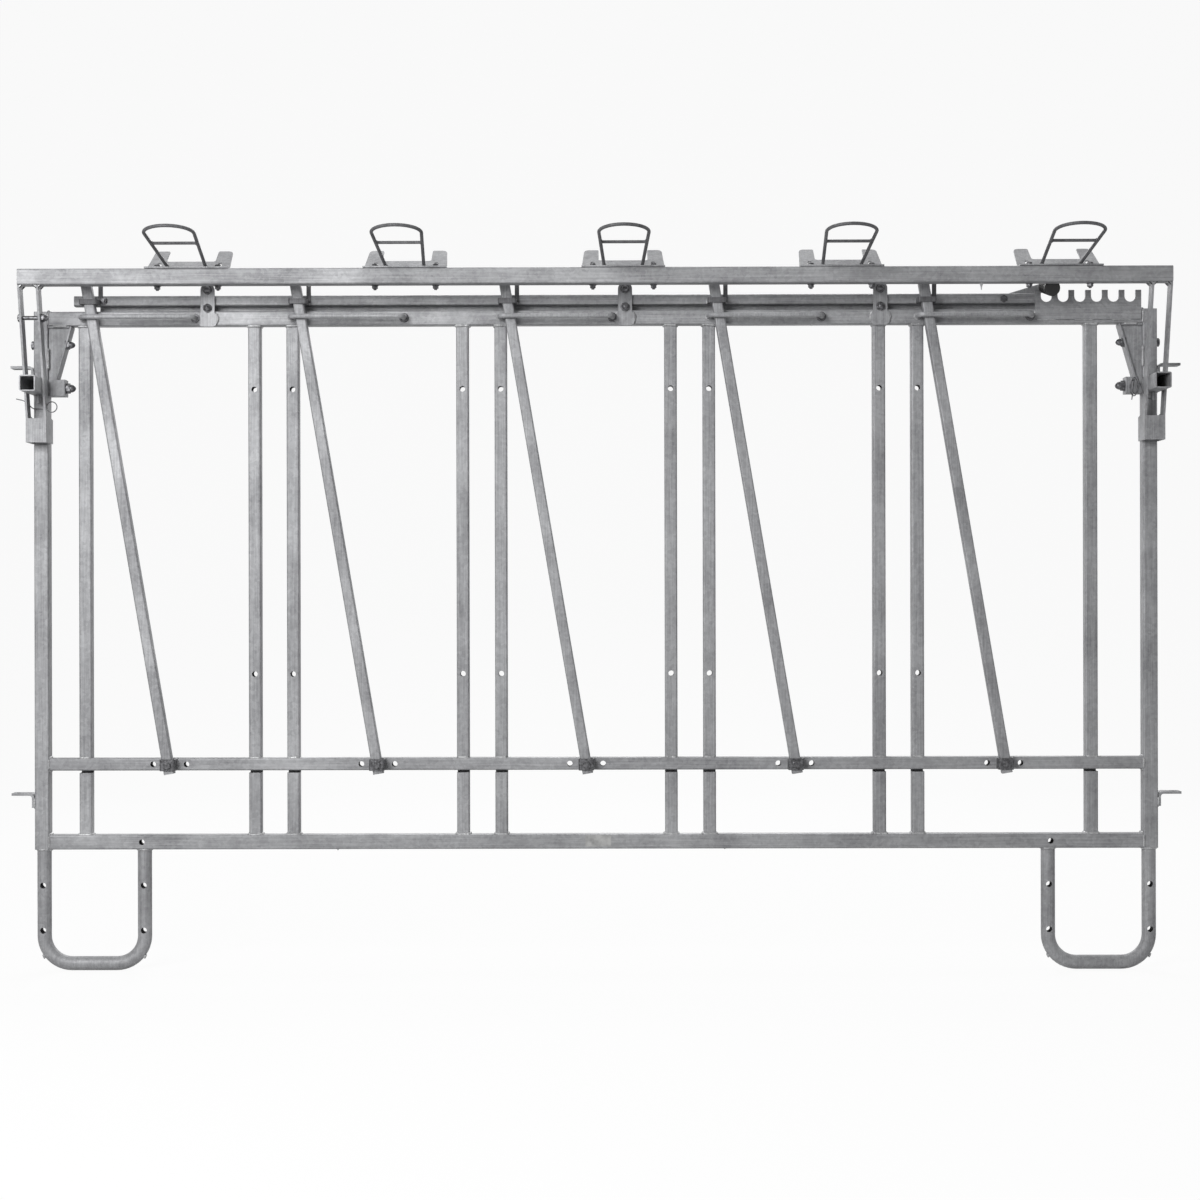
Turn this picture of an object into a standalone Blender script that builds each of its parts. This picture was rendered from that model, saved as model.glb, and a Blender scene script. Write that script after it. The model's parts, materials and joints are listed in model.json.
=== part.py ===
"""Calf headlock panel: a welded tube frame with five swinging yokes on one slider.

Metres, +Z up, +X along the rails, +Y away from the side that is looked at.
The origin is on the rear face of the bottom rail, at its middle.
"""
import math

import bmesh
import bpy
from mathutils import Matrix, Vector

# Clearances
GAP = 0.0003            # between pieces that touch
RUN = 0.001             # round pieces that run past each other

# Tubes of the frame
FRAME_TUBE = 0.035      # end posts, bottom rail and main rail
POST_TUBE = 0.030       # inner posts and lower rail
WALL = 0.0025
CORNER = 0.004          # outer corner radius of every square tube

# Frame
POST_SPACING = 2.660    # between the centres of the end posts
MAIN_RAIL_Z = 1.257     # above the bottom rail, centre to centre
LOWER_RAIL_Z = 0.187
BAYS = 5
POST_PAIR = 0.092       # right post of a bay to the left post of the next
LAST_BAY_EXTRA = 0.008  # the last bay is a little wider
LEFT_END = 0.104        # left end post to the first inner post
RIGHT_END = 0.140       # last inner post to the right end post, under the comb
POST_HOLE = 0.014
POST_HOLE_LOW = 0.403   # lower hole above the bottom rail's centre
POST_HOLE_DROP = 0.170  # upper hole below the main rail's centre
NOTCH_SLACK = 0.006     # the post's notch is this much taller than the lower rail
RAIL_HOLE = 0.014
RAIL_HOLE_SPREAD = 0.040
RAIL_END_HOLE = 0.240   # from the end post's centre

# Feet
FOOT_TUBE = 0.0337
FOOT_LEG_SPACING = 0.242
FOOT_DROP = 0.3095      # bottom rail centre to the underside of the hoop
FOOT_BEND = 0.067
FOOT_INSET = 0.002      # outer leg's centre inside the end post's centre
FOOT_HOLE = 0.0145
FOOT_HOLES_Z = (-0.104, -0.212)

# Side lugs
LUG_REACH = 0.055
LUG_WIDTH = 0.034
LUG_THICK = 0.006
LUG_LEG = 0.032
LUG_EYE = 0.018
LUG_LOW = 0.115         # lower lugs above the bottom rail's centre
LUG_DROP = 0.116        # upper lugs below the main rail's centre

# Yokes
YOKE_TUBE = 0.025
YOKE_LEAN = math.radians(9.55)
YOKE_OVER = 0.0848      # top end above the main rail's centre
YOKE_BELOW = 0.022      # pivot to the open lower end
YOKE_STANDOFF = 0.0055  # from the frame's front to the yoke's rear
YOKE_BOLT = 0.010
BOLT_HEAD = 0.019       # across its head, and across the nut
BOLT_HEAD_TALL = 0.0062
BOLT_CHAMFER = 0.002
YOKE_SPACER = 0.018     # washer between the yoke and the lower rail
YOKE_NUT_TALL = 0.004
BRACKET_INSIDE = 0.0318 # of the U bracket round the yoke's foot
BRACKET_THICK = 0.0025
BRACKET_TALL = 0.028

# Slider
SLIDER_TUBE = 0.025
SLIDER_LIFT = 0.013     # gap between the main rail and the slider
SLIDER_FRONT = -0.0305
SLIDER_PAST_POST = 0.025    # past the first inner post
SLIDER_END_GAP = 0.014      # between its right end and the lever's rod
TRAVEL = 0.200
STRAP_TALL = 0.012
STRAP_THICK = 0.005
STRAP_INSIDE = 0.034
FINGER_TALL = 0.045
REAR_GUIDE_THICK = 0.005
REAR_GUIDE_TALL = 0.040
REAR_GUIDE_INSET = (0.056, 0.018)   # inside the slider's left and right ends

# Slider guides
GUIDE_PLACES = ((0, 0.298), (2, 0.299), (3, 0.410))     # bay, and distance from its left post
GUIDE_WIDTH = 0.034
GUIDE_PLATE = 0.005
GUIDE_BOLT = 0.010
GUIDE_NUT = 0.018
GUIDE_SHIELD = 0.046
GUIDE_TIP_BELOW = 0.003     # the plate's tip under the main rail
GUIDE_SHOULDER = 0.012
GUIDE_HEAD_TALL = 0.004

# Front guide rods
ROD = 0.012
ROD_ENDS = (-0.001, 0.269)   # from the left post of the bay

# Comb
COMB_PLATE = 0.005
COMB_SLOTS = 6
COMB_PITCH = TRAVEL / (COMB_SLOTS - 1)
COMB_SLOT = 0.0265
COMB_END_GAP = 0.00475  # to the right end post
COMB_DROP = 0.008       # its lower edge below the main rail's centre
COMB_TALL = 0.0695
COMB_SLOT_DEEP = 0.0285

# Lever
LEVER_ARM = 0.100
LEVER_FLAT = 0.005
LEVER_TALL = 0.022
LEVER_ROD = 0.018
LEVER_SLOPE = math.radians(15.0)
LEVER_STRAIGHT = 0.008  # of rod in front of the comb, before it slopes down
GRIP = 0.038
GRIP_LONG = 0.056
GRIP_START = 0.0044     # of sloping rod before the grip
GRIP_END = 0.004        # thickness and rounding of its closed end
GRIP_CHAMFER = 0.003
LEVER_CLEAR = 0.0008    # rod above the teeth when it is lifted
PIN_HEAD_TALL = 0.0035

# Beam and arms
BEAM_TUBE = 0.038
BEAM_FRONT = -0.155
BEAM_LIFT = 0.0835      # above the main rail, centre to centre
ARM_THICK = 0.005
ARM_DEEP = 0.030
ARM_FOOT_FRONT = -0.080
ARM_FOOT_REAR = -0.016
ARM_DROP = 0.2995       # its lower end below the main rail's centre
ARM_WEB_TALL = 0.0575
ARM_TOP_INSET = 0.002   # the arm's front behind the beam's front
ARM_ELBOW = 0.006       # height of the step at the back of the foot

# Stub tubes
STUB_TUBE = 0.038
STUB_WALL = 0.003
STUB_REACH = 0.123
CLIP_PIN = 0.012
CLIP_PIN_Y = -0.0605
CLIP_PIN_BELOW = 0.022  # of pin under the stub
CLIP_PIN_HEAD = 0.020
CLIP_PIN_HEAD_TALL = 0.004

# Corner gussets
GUSSET_WIDE = 0.056
GUSSET_TALL = 0.130
GUSSET_DEEP = 0.0345
GUSSET_TOE = 0.020
GUSSET_SHEET = 0.004
CLAMP_SIDE = 0.040
CLAMP_LAP = 0.002       # the clamp block runs this far up into the gusset's toe
GUSSET_LIP = 0.012      # height of the gusset's upright edge under the rail
BOSS = 0.024
BOSS_OUT = 0.016
BOSS_SUNK = 0.004       # of the boss inside the clamp block

# Holders on the beam
HOLDERS = 5
HOLDER_ENDS = (0.396, 0.260)    # beam's ends to the middles of the first and last holder
HOLDER_LONG = 0.196
HOLDER_SHEET = 0.004
EAR_WIDE = 0.040
EAR_BACK = 0.083
EAR_UP = 0.054
BRIDGE_SHARE = 0.40     # of the ears' height
LOOP_WIRE = 0.008
LOOP_FEET = 0.089       # between the wire's centres at the feet
LOOP_SHOULDERS = 0.113  # and where the legs end and the round nose starts
LOOP_LEG = 0.206        # feet to shoulders, along Y
LOOP_NOSE = 0.045       # shoulders to the front of the nose, along Y
LOOP_TILT = math.radians(12.3)
LOOP_BAR_SHARE = 0.72   # of the legs, where the cross bar sits
LOOP_STEPS = 10
EAR_CORNER = 0.012

# Places that follow from the sizes above
FRAME_FRONT = -FRAME_TUBE
FRAME_MID = -FRAME_TUBE / 2
MAIN_TOP = MAIN_RAIL_Z + FRAME_TUBE / 2
POST_HOLES_Z = (POST_HOLE_LOW, MAIN_RAIL_Z - POST_HOLE_DROP)
LUGS_Z = (LUG_LOW, MAIN_RAIL_Z - LUG_DROP)
YOKE_ABOVE = (MAIN_RAIL_Z - LOWER_RAIL_Z + YOKE_OVER) / math.cos(YOKE_LEAN)    # from the pivot
SLIDER_Z = MAIN_TOP + SLIDER_LIFT + SLIDER_TUBE / 2
SLIDER_MID = SLIDER_FRONT + SLIDER_TUBE / 2
YOKE_MID = FRAME_FRONT - YOKE_STANDOFF - YOKE_TUBE / 2
YOKE_FRONT = YOKE_MID - YOKE_TUBE / 2
RAIL_REACH = POST_SPACING / 2 - FRAME_TUBE / 2 - GAP
FIRST_POST_X = -POST_SPACING / 2 + LEFT_END
BAY_PITCH = (POST_SPACING - LEFT_END - RIGHT_END - LAST_BAY_EXTRA + POST_PAIR) / BAYS
BAY_WIDTH = BAY_PITCH - POST_PAIR   # left post to right post of a bay
COMB_TOOTH = COMB_PITCH - COMB_SLOT
COMB_RIGHT = POST_SPACING / 2 - FRAME_TUBE / 2 - COMB_END_GAP
COMB_LEFT = COMB_RIGHT - COMB_SLOTS * COMB_PITCH - COMB_TOOTH
COMB_FIRST_X = COMB_LEFT + COMB_TOOTH + COMB_SLOT / 2
SLIDER_LEFT = FIRST_POST_X - SLIDER_PAST_POST
SLIDER_RIGHT = COMB_FIRST_X - LEVER_ROD / 2 - SLIDER_END_GAP
BEAM_REACH = POST_SPACING / 2 + STUB_TUBE / 2 + GAP + ARM_THICK
BEAM_Z = MAIN_RAIL_Z + BEAM_LIFT
ARM_BOTTOM = MAIN_RAIL_Z - ARM_DROP
ARM_WEB_TOP = ARM_BOTTOM + ARM_WEB_TALL
GUSSET_TOP = MAIN_RAIL_Z - FRAME_TUBE / 2 - GAP
CLAMP_Z = GUSSET_TOP - GUSSET_TALL + CLAMP_LAP - CLAMP_SIDE / 2
STUB_Z = CLAMP_Z        # the clamp's bolt holds the stub through the end post
COMB_BOTTOM = MAIN_RAIL_Z - COMB_DROP
COMB_TOP = COMB_BOTTOM + COMB_TALL
LEVER_DOWN_Z = COMB_TOP - COMB_SLOT_DEEP + LEVER_ROD / 2 + GAP
LEVER_LIFT = math.asin((COMB_TOP + LEVER_CLEAR + LEVER_ROD / 2 - LEVER_DOWN_Z) / LEVER_ARM)

GALVANISED = (0.46, 0.47, 0.48)
DARK_STEEL = (0.16, 0.16, 0.15)
RUBBER = (0.012, 0.012, 0.012)


def new_collection(name):
    made = bpy.data.collections.new(name)
    bpy.context.scene.collection.children.link(made)
    return made


def material(name, colour, metallic, roughness):
    made = bpy.data.materials.new(name)
    made.use_nodes = True
    shader = made.node_tree.nodes["Principled BSDF"]
    shader.inputs["Base Color"].default_value = (*colour, 1.0)
    shader.inputs["Metallic"].default_value = metallic
    shader.inputs["Roughness"].default_value = roughness
    made.diffuse_color = (*colour, 1.0)
    return made


def rounded_box(wide, tall, radius, steps=2):
    """Corners of a rectangle about the origin, with round corners."""
    points = []
    for corner in range(4):
        sign_x = 1 if corner in (0, 3) else -1
        sign_y = 1 if corner in (0, 1) else -1
        for step in range(steps + 1):
            angle = math.pi / 2 * (corner + step / steps)
            points.append((sign_x * (wide / 2 - radius) + radius * math.cos(angle),
                           sign_y * (tall / 2 - radius) + radius * math.sin(angle)))
    return points


def arc(centre, radius, start, end, steps):
    """Points on an arc, angles in degrees."""
    points = []
    for step in range(steps + 1):
        angle = math.radians(start + (end - start) * step / steps)
        points.append((centre[0] + radius * math.cos(angle), centre[1] + radius * math.sin(angle)))
    return points


def curve_to_mesh(thing, collection):
    """Turns a curve object into a mesh object with welded caps."""
    bpy.context.view_layer.update()
    graph = bpy.context.evaluated_depsgraph_get()
    mesh = bpy.data.meshes.new_from_object(thing.evaluated_get(graph))
    bm = bmesh.new()
    bm.from_mesh(mesh)
    bmesh.ops.remove_doubles(bm, verts=bm.verts, dist=0.00001)
    bmesh.ops.recalc_face_normals(bm, faces=bm.faces)
    bm.to_mesh(mesh)
    bm.free()
    made = bpy.data.objects.new(thing.name, mesh)
    collection.objects.link(made)
    made.matrix_world = thing.matrix_world.copy()
    name = thing.name
    bpy.data.objects.remove(thing)
    made.name = name
    return made


def plate(name, loops, thickness, collection):
    """A flat outline with its holes, extruded equally to both sides of its plane."""
    curve = bpy.data.curves.new(name, "CURVE")
    curve.dimensions = "2D"
    curve.fill_mode = "BOTH"
    curve.extrude = thickness / 2
    for loop in loops:
        spline = curve.splines.new("POLY")
        spline.points.add(len(loop) - 1)
        for point, place in zip(spline.points, loop):
            point.co = (place[0], place[1], 0.0, 1.0)
        spline.use_cyclic_u = True
    thing = bpy.data.objects.new(name, curve)
    collection.objects.link(thing)
    return curve_to_mesh(thing, collection)


def place(thing, columns, where):
    """Turns a plate so that its x, y and thickness lie along the given directions."""
    turn = Matrix([Vector(column) for column in columns]).transposed().to_4x4()
    thing.matrix_world = Matrix.Translation(where) @ turn
    return thing


ALONG_X = ((0, 1, 0), (0, 0, 1), (1, 0, 0))     # outline in YZ, extruded along X
ALONG_Y = ((1, 0, 0), (0, 0, 1), (0, -1, 0))    # outline in XZ, extruded along Y
ALONG_Z = ((1, 0, 0), (0, 1, 0), (0, 0, 1))     # outline in XY, extruded along Z


def square_tube(name, size, wall, long, columns, where, collection):
    outer = rounded_box(size, size, CORNER)
    inner = rounded_box(size - 2 * wall, size - 2 * wall, CORNER - wall)
    return place(plate(name, [outer, inner], long, collection), columns, where)


def wire(name, points, thickness, collection, resolution=2):
    """Round bar or tube along a row of points."""
    curve = bpy.data.curves.new(name, "CURVE")
    curve.dimensions = "3D"
    curve.bevel_depth = thickness / 2
    curve.bevel_resolution = resolution
    curve.use_fill_caps = True
    spline = curve.splines.new("POLY")
    spline.points.add(len(points) - 1)
    for point, where in zip(spline.points, points):
        point.co = (*where, 1.0)
    thing = bpy.data.objects.new(name, curve)
    collection.objects.link(thing)
    return curve_to_mesh(thing, collection)


def rod(name, radius, start, end, collection, sides=16):
    """A cylinder between two points."""
    start = Vector(start)
    end = Vector(end)
    bm = bmesh.new()
    bmesh.ops.create_cone(bm, cap_ends=True, segments=sides, radius1=radius, radius2=radius,
                          depth=(end - start).length)
    mesh = bpy.data.meshes.new(name)
    bm.to_mesh(mesh)
    bm.free()
    thing = bpy.data.objects.new(name, mesh)
    collection.objects.link(thing)
    turn = Vector((0, 0, 1)).rotation_difference(end - start).to_matrix().to_4x4()
    thing.matrix_world = Matrix.Translation((start + end) / 2) @ turn
    return thing


def block(name, low, high, collection):
    bm = bmesh.new()
    bmesh.ops.create_cube(bm, size=1.0)
    mesh = bpy.data.meshes.new(name)
    bm.to_mesh(mesh)
    bm.free()
    thing = bpy.data.objects.new(name, mesh)
    collection.objects.link(thing)
    low = Vector(low)
    high = Vector(high)
    for vertex in mesh.vertices:
        vertex.co = Vector(a * b for a, b in zip(vertex.co, high - low)) + (low + high) / 2
    return thing


def turned(name, profile, where, direction, collection, steps=16):
    """A turned solid: (radius, height) pairs from the axis at the top to the axis at the bottom."""
    mesh = bpy.data.meshes.new(name)
    bm = bmesh.new()
    row = [bm.verts.new((radius, 0.0, height)) for radius, height in profile]
    for first, second in zip(row, row[1:]):
        bm.edges.new((first, second))
    bm.to_mesh(mesh)
    bm.free()
    thing = bpy.data.objects.new(name, mesh)
    collection.objects.link(thing)
    screw = thing.modifiers.new("Turn", "SCREW")
    screw.steps = steps
    screw.render_steps = steps
    screw.use_merge_vertices = True
    screw.merge_threshold = 0.00001
    screw.use_smooth_shade = False
    turn = Vector((0, 0, 1)).rotation_difference(Vector(direction)).to_matrix().to_4x4()
    thing.matrix_world = Matrix.Translation(where) @ turn
    return thing


def combine(thing, tool, operation):
    """Cuts or joins a helper solid, which then stays hidden among the cutters."""
    step = thing.modifiers.new(tool.name, "BOOLEAN")
    step.operation = operation
    step.solver = "EXACT"
    step.object = tool
    tool.hide_render = True
    tool.hide_viewport = False
    tool.display_type = "WIRE"


def cut(thing, *tools):
    for tool in tools:
        combine(thing, tool, "DIFFERENCE")


def join(thing, *tools):
    for tool in tools:
        combine(thing, tool, "UNION")


def finish(thing, surface, smooth=False):
    thing.data.materials.clear()
    thing.data.materials.append(surface)
    if smooth:
        thing.data.shade_smooth()
    return thing


def bay_left(bay):
    return FIRST_POST_X + BAY_PITCH * bay


def bay_right(bay):
    extra = LAST_BAY_EXTRA if bay == BAYS - 1 else 0.0
    return bay_left(bay) + BAY_WIDTH + extra


def pivot_x(bay):
    return bay_left(bay) + BAY_WIDTH / 2


def through_hole(name, x, z, size, deep, collection):
    """A cutter that runs front to back through a tube whose middle is at deep."""
    reach = FRAME_TUBE
    return rod(name, size / 2, (x, deep - reach, z), (x, deep + reach, z), collection, 10)


def build_rails(parts, cutters, steel):
    bottom = square_tube("bottom_rail", FRAME_TUBE, WALL, 2 * RAIL_REACH, ALONG_X,
                         (0, FRAME_MID, 0), parts)
    end_hole_x = POST_SPACING / 2 - RAIL_END_HOLE
    for side in (-1, 1):
        cut(bottom, through_hole(f"bottom_rail_hole_{side}", side * end_hole_x, 0, RAIL_HOLE,
                                 FRAME_MID, cutters))
    finish(bottom, steel)
    finish(square_tube("main_rail", FRAME_TUBE, WALL, 2 * RAIL_REACH, ALONG_X,
                       (0, FRAME_MID, MAIN_RAIL_Z), parts), steel)
    lower_mid = FRAME_FRONT + POST_TUBE / 2
    lower = square_tube("lower_rail", POST_TUBE, WALL, 2 * RAIL_REACH, ALONG_X,
                        (0, lower_mid, LOWER_RAIL_Z), parts)
    for bay in range(BAYS):
        for side, offset in enumerate((-RAIL_HOLE_SPREAD, RAIL_HOLE_SPREAD)):
            cut(lower, through_hole(f"lower_rail_hole_{bay}_{side}", pivot_x(bay) + offset,
                                    LOWER_RAIL_Z, RAIL_HOLE, lower_mid, cutters))
        cut(lower, through_hole(f"lower_rail_bolt_hole_{bay}", pivot_x(bay), LOWER_RAIL_Z,
                                YOKE_BOLT + 2 * GAP, lower_mid, cutters))
    finish(lower, steel)


def build_end_posts(parts, cutters, steel):
    low = -FRAME_TUBE / 2
    for side, name in ((-1, "end_post_left"), (1, "end_post_right")):
        x = side * POST_SPACING / 2
        finish(square_tube(name, FRAME_TUBE, WALL, MAIN_TOP - low, ALONG_Z,
                           (x, FRAME_MID, (MAIN_TOP + low) / 2), parts), steel)


def build_posts(parts, cutters, steel):
    low = FRAME_TUBE / 2 + GAP
    high = MAIN_RAIL_Z - FRAME_TUBE / 2 - GAP
    notch_top = LOWER_RAIL_Z + POST_TUBE / 2 + GAP
    notch_low = LOWER_RAIL_Z - POST_TUBE / 2 - NOTCH_SLACK
    notch_rear = FRAME_FRONT + POST_TUBE + GAP
    number = 0
    for bay in range(BAYS):
        for x in (bay_left(bay), bay_right(bay)):
            number += 1
            post = square_tube(f"post_{number}", POST_TUBE, WALL, high - low, ALONG_Z,
                               (x, -POST_TUBE / 2, (low + high) / 2), parts)
            cut(post, block(f"post_notch_{number}", (x - POST_TUBE, FRAME_FRONT - WALL, notch_low),
                            (x + POST_TUBE, notch_rear, notch_top), cutters))
            if 1 < number < 2 * BAYS:
                for spot, z in enumerate(POST_HOLES_Z):
                    cut(post, through_hole(f"post_hole_{number}_{spot}", x, z, POST_HOLE,
                                           -POST_TUBE / 2, cutters))
            finish(post, steel)


def build_feet(parts, cutters, steel):
    top = -FRAME_TUBE / 2 - GAP
    bottom = -FOOT_DROP + FOOT_TUBE / 2
    for side, name in ((-1, "foot_hoop_left"), (1, "foot_hoop_right")):
        outer = side * (POST_SPACING / 2 - FOOT_INSET)
        inner = outer - side * FOOT_LEG_SPACING
        turn = 6
        centre_z = bottom + FOOT_BEND
        points = [(outer, FRAME_MID, top)]
        for step in range(turn + 1):
            angle = math.pi / 2 * step / turn
            points.append((outer - side * FOOT_BEND * (1 - math.cos(angle)), FRAME_MID,
                           centre_z - FOOT_BEND * math.sin(angle)))
        for step in range(turn + 1):
            angle = math.pi / 2 * (1 - step / turn)
            points.append((inner + side * FOOT_BEND * (1 - math.cos(angle)), FRAME_MID,
                           centre_z - FOOT_BEND * math.sin(angle)))
        points.append((inner, FRAME_MID, top))
        hoop = wire(name, points, FOOT_TUBE, parts, 3)
        for leg, x in enumerate((outer, inner)):
            for spot, z in enumerate(FOOT_HOLES_Z):
                cut(hoop, through_hole(f"{name}_hole_{leg}_{spot}", x, z, FOOT_HOLE, FRAME_MID, cutters))
        finish(hoop, steel, True)


def build_lugs(parts, cutters, steel):
    """Bent flats on the end posts: a leg down the post and an eye that reaches out."""
    bend = LUG_THICK
    for side, side_name in ((-1, "left"), (1, "right")):
        for level, z in zip(("lower", "upper"), LUGS_Z):
            face = POST_SPACING / 2 + FRAME_TUBE / 2 + GAP
            profile = [(face + LUG_REACH, z + LUG_THICK / 2)]
            profile += arc((face + bend + LUG_THICK, z + LUG_THICK / 2 - bend - LUG_THICK),
                           bend + LUG_THICK, 90, 180, 4)
            profile += [(face, z - LUG_LEG), (face + LUG_THICK, z - LUG_LEG)]
            profile += arc((face + bend + LUG_THICK, z - LUG_THICK / 2 - bend), bend, 180, 90, 4)
            profile += [(face + LUG_REACH, z - LUG_THICK / 2)]
            profile = [(side * x, height) for x, height in profile]
            name = f"lug_{side_name}_{level}"
            lug = place(plate(name, [profile], LUG_WIDTH, parts), ALONG_Y, (0, FRAME_MID, 0))
            eye_x = side * (face + LUG_REACH - LUG_WIDTH / 2)
            cut(lug, rod(f"{name}_eye", LUG_EYE / 2, (eye_x, FRAME_MID, z - LUG_THICK),
                         (eye_x, FRAME_MID, z + LUG_THICK), cutters, 16))
            finish(lug, steel)


def build_yokes(parts, cutters, steel, dark):
    for bay in range(BAYS):
        number = bay + 1
        x = pivot_x(bay)
        outer = rounded_box(YOKE_TUBE, YOKE_TUBE, CORNER)
        inner = rounded_box(YOKE_TUBE - 2 * WALL, YOKE_TUBE - 2 * WALL, CORNER - WALL)
        yoke = plate(f"yoke_{number}", [outer, inner], YOKE_ABOVE + YOKE_BELOW, parts)
        middle = (YOKE_ABOVE - YOKE_BELOW) / 2
        for vertex in yoke.data.vertices:
            vertex.co.z += middle
        yoke.location = (x, YOKE_MID, LOWER_RAIL_Z)
        yoke.rotation_euler = (0, -YOKE_LEAN, 0)
        cut(yoke, through_hole(f"yoke_hole_{number}", x, LOWER_RAIL_Z, YOKE_BOLT + 2 * GAP,
                               YOKE_MID, cutters))
        finish(yoke, steel)

        rear = FRAME_FRONT + POST_TUBE
        shank = YOKE_BOLT / 2
        wide = BOLT_HEAD / 2
        spacer = YOKE_SPACER / 2
        band = YOKE_FRONT - RUN - BRACKET_THICK
        head = -band - GAP      # sunk a little into the bracket's band
        profile = [
            (0.0, head + BOLT_HEAD_TALL),
            (wide - BOLT_CHAMFER, head + BOLT_HEAD_TALL),
            (wide, head + BOLT_HEAD_TALL - BOLT_CHAMFER),
            (wide, head),
            (shank, head),
            (shank, -FRAME_FRONT + YOKE_STANDOFF - GAP),
            (spacer, -FRAME_FRONT + YOKE_STANDOFF - GAP),
            (spacer, -FRAME_FRONT + GAP),
            (shank, -FRAME_FRONT + GAP),
            (shank, -rear - GAP),
            (wide, -rear - GAP),
            (wide, -rear - GAP - YOKE_NUT_TALL),
            (0.0, -rear - GAP - YOKE_NUT_TALL),
        ]
        bolt = turned(f"yoke_bolt_{number}", profile, (x, 0, LOWER_RAIL_Z), (0, -1, 0), parts, 12)

        # The U bracket round the yoke's foot, seen from above, open towards the rail
        inside = BRACKET_INSIDE / 2
        outside = inside + BRACKET_THICK
        back = FRAME_FRONT - GAP
        loop = [(x - outside, back), (x - outside, band), (x + outside, band), (x + outside, back),
                (x + inside, back), (x + inside, band + BRACKET_THICK),
                (x - inside, band + BRACKET_THICK), (x - inside, back)]
        bracket = place(plate(f"yoke_bracket_{number}", [loop], BRACKET_TALL, cutters), ALONG_Z,
                        (0, 0, LOWER_RAIL_Z))
        join(bolt, bracket)
        finish(bolt, dark)


def build_slider(parts, cutters, steel):
    middle = (SLIDER_LEFT + SLIDER_RIGHT) / 2
    slider = square_tube("slider", SLIDER_TUBE, WALL, SLIDER_RIGHT - SLIDER_LEFT, ALONG_X,
                         (middle, SLIDER_MID, SLIDER_Z), parts)
    inside_front = YOKE_FRONT - RUN
    strap_z = SLIDER_Z - SLIDER_TUBE / 2 + STRAP_TALL / 2
    for bay in range(BAYS):
        x = pivot_x(bay) - math.tan(YOKE_LEAN) * (strap_z - LOWER_RAIL_Z)
        inside = STRAP_INSIDE / 2
        outside = inside + STRAP_THICK
        # Seen from above: a U that opens towards the slider
        back = SLIDER_FRONT + WALL / 2
        front = inside_front - STRAP_THICK
        loop = [(x - outside, back), (x - outside, front + STRAP_THICK)]
        loop += arc((x - inside, front + STRAP_THICK), STRAP_THICK, 180, 270, 3)
        loop += arc((x + inside, front + STRAP_THICK), STRAP_THICK, 270, 360, 3)
        loop += [(x + outside, back), (x + inside, back), (x + inside, inside_front),
                 (x - inside, inside_front), (x - inside, back)]
        strap = place(plate(f"strap_{bay}", [loop], STRAP_TALL, cutters), ALONG_Z, (0, 0, strap_z))
        finger = block(f"finger_{bay}", (x + inside, back - STRAP_THICK, strap_z),
                       (x + outside, back, strap_z + FINGER_TALL), cutters)
        join(slider, strap, finger)
    cut(slider, through_hole("slider_pin_hole", COMB_FIRST_X - LEVER_ARM, LEVER_DOWN_Z,
                             YOKE_BOLT + 2 * GAP, SLIDER_MID, cutters))
    finish(slider, steel)


def build_rear_guide(parts, steel):
    low = SLIDER_Z - REAR_GUIDE_TALL
    left = SLIDER_LEFT + REAR_GUIDE_INSET[0]
    right = SLIDER_RIGHT - REAR_GUIDE_INSET[1]
    guide = block("rear_guide", (left, GAP, low), (right, GAP + REAR_GUIDE_THICK, SLIDER_Z), parts)
    finish(guide, steel)


def build_guides(parts, cutters, steel):
    """Front plates that hold the slider between two bolts."""
    low_bolt = MAIN_TOP + SLIDER_LIFT / 2
    high_bolt = SLIDER_Z + SLIDER_TUBE / 2 + SLIDER_LIFT / 2 + GUIDE_BOLT / 2
    for number, (bay, from_post) in enumerate(GUIDE_PLACES, 1):
        x = bay_left(bay) + from_post
        half = GUIDE_WIDTH / 2
        top = high_bolt
        shield = MAIN_RAIL_Z
        tip = MAIN_RAIL_Z - FRAME_TUBE / 2 - GUIDE_TIP_BELOW
        outline = arc((x, top), half, 0, 180, 8)
        outline += [(x - half, shield + GUIDE_SHOULDER), (x - GUIDE_SHIELD / 2, shield),
                    (x - GUIDE_SHIELD / 4, tip), (x + GUIDE_SHIELD / 4, tip),
                    (x + GUIDE_SHIELD / 2, shield), (x + half, shield + GUIDE_SHOULDER)]
        middle = FRAME_FRONT - GAP - GUIDE_PLATE / 2
        guide = place(plate(f"slider_guide_{number}", [outline], GUIDE_PLATE, parts), ALONG_Y,
                      (0, middle, 0))
        head_front = middle - GUIDE_PLATE / 2 - GUIDE_HEAD_TALL
        for spot, z in enumerate((low_bolt, high_bolt)):
            shank = rod(f"guide_shank_{number}_{spot}", GUIDE_BOLT / 2, (x, middle, z),
                        (x, -RUN, z), cutters, 12)
            head = rod(f"guide_head_{number}_{spot}", GUIDE_NUT / 2, (x, head_front, z),
                       (x, middle, z), cutters, 12)
            join(guide, shank, head)
        finish(guide, steel)


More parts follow.
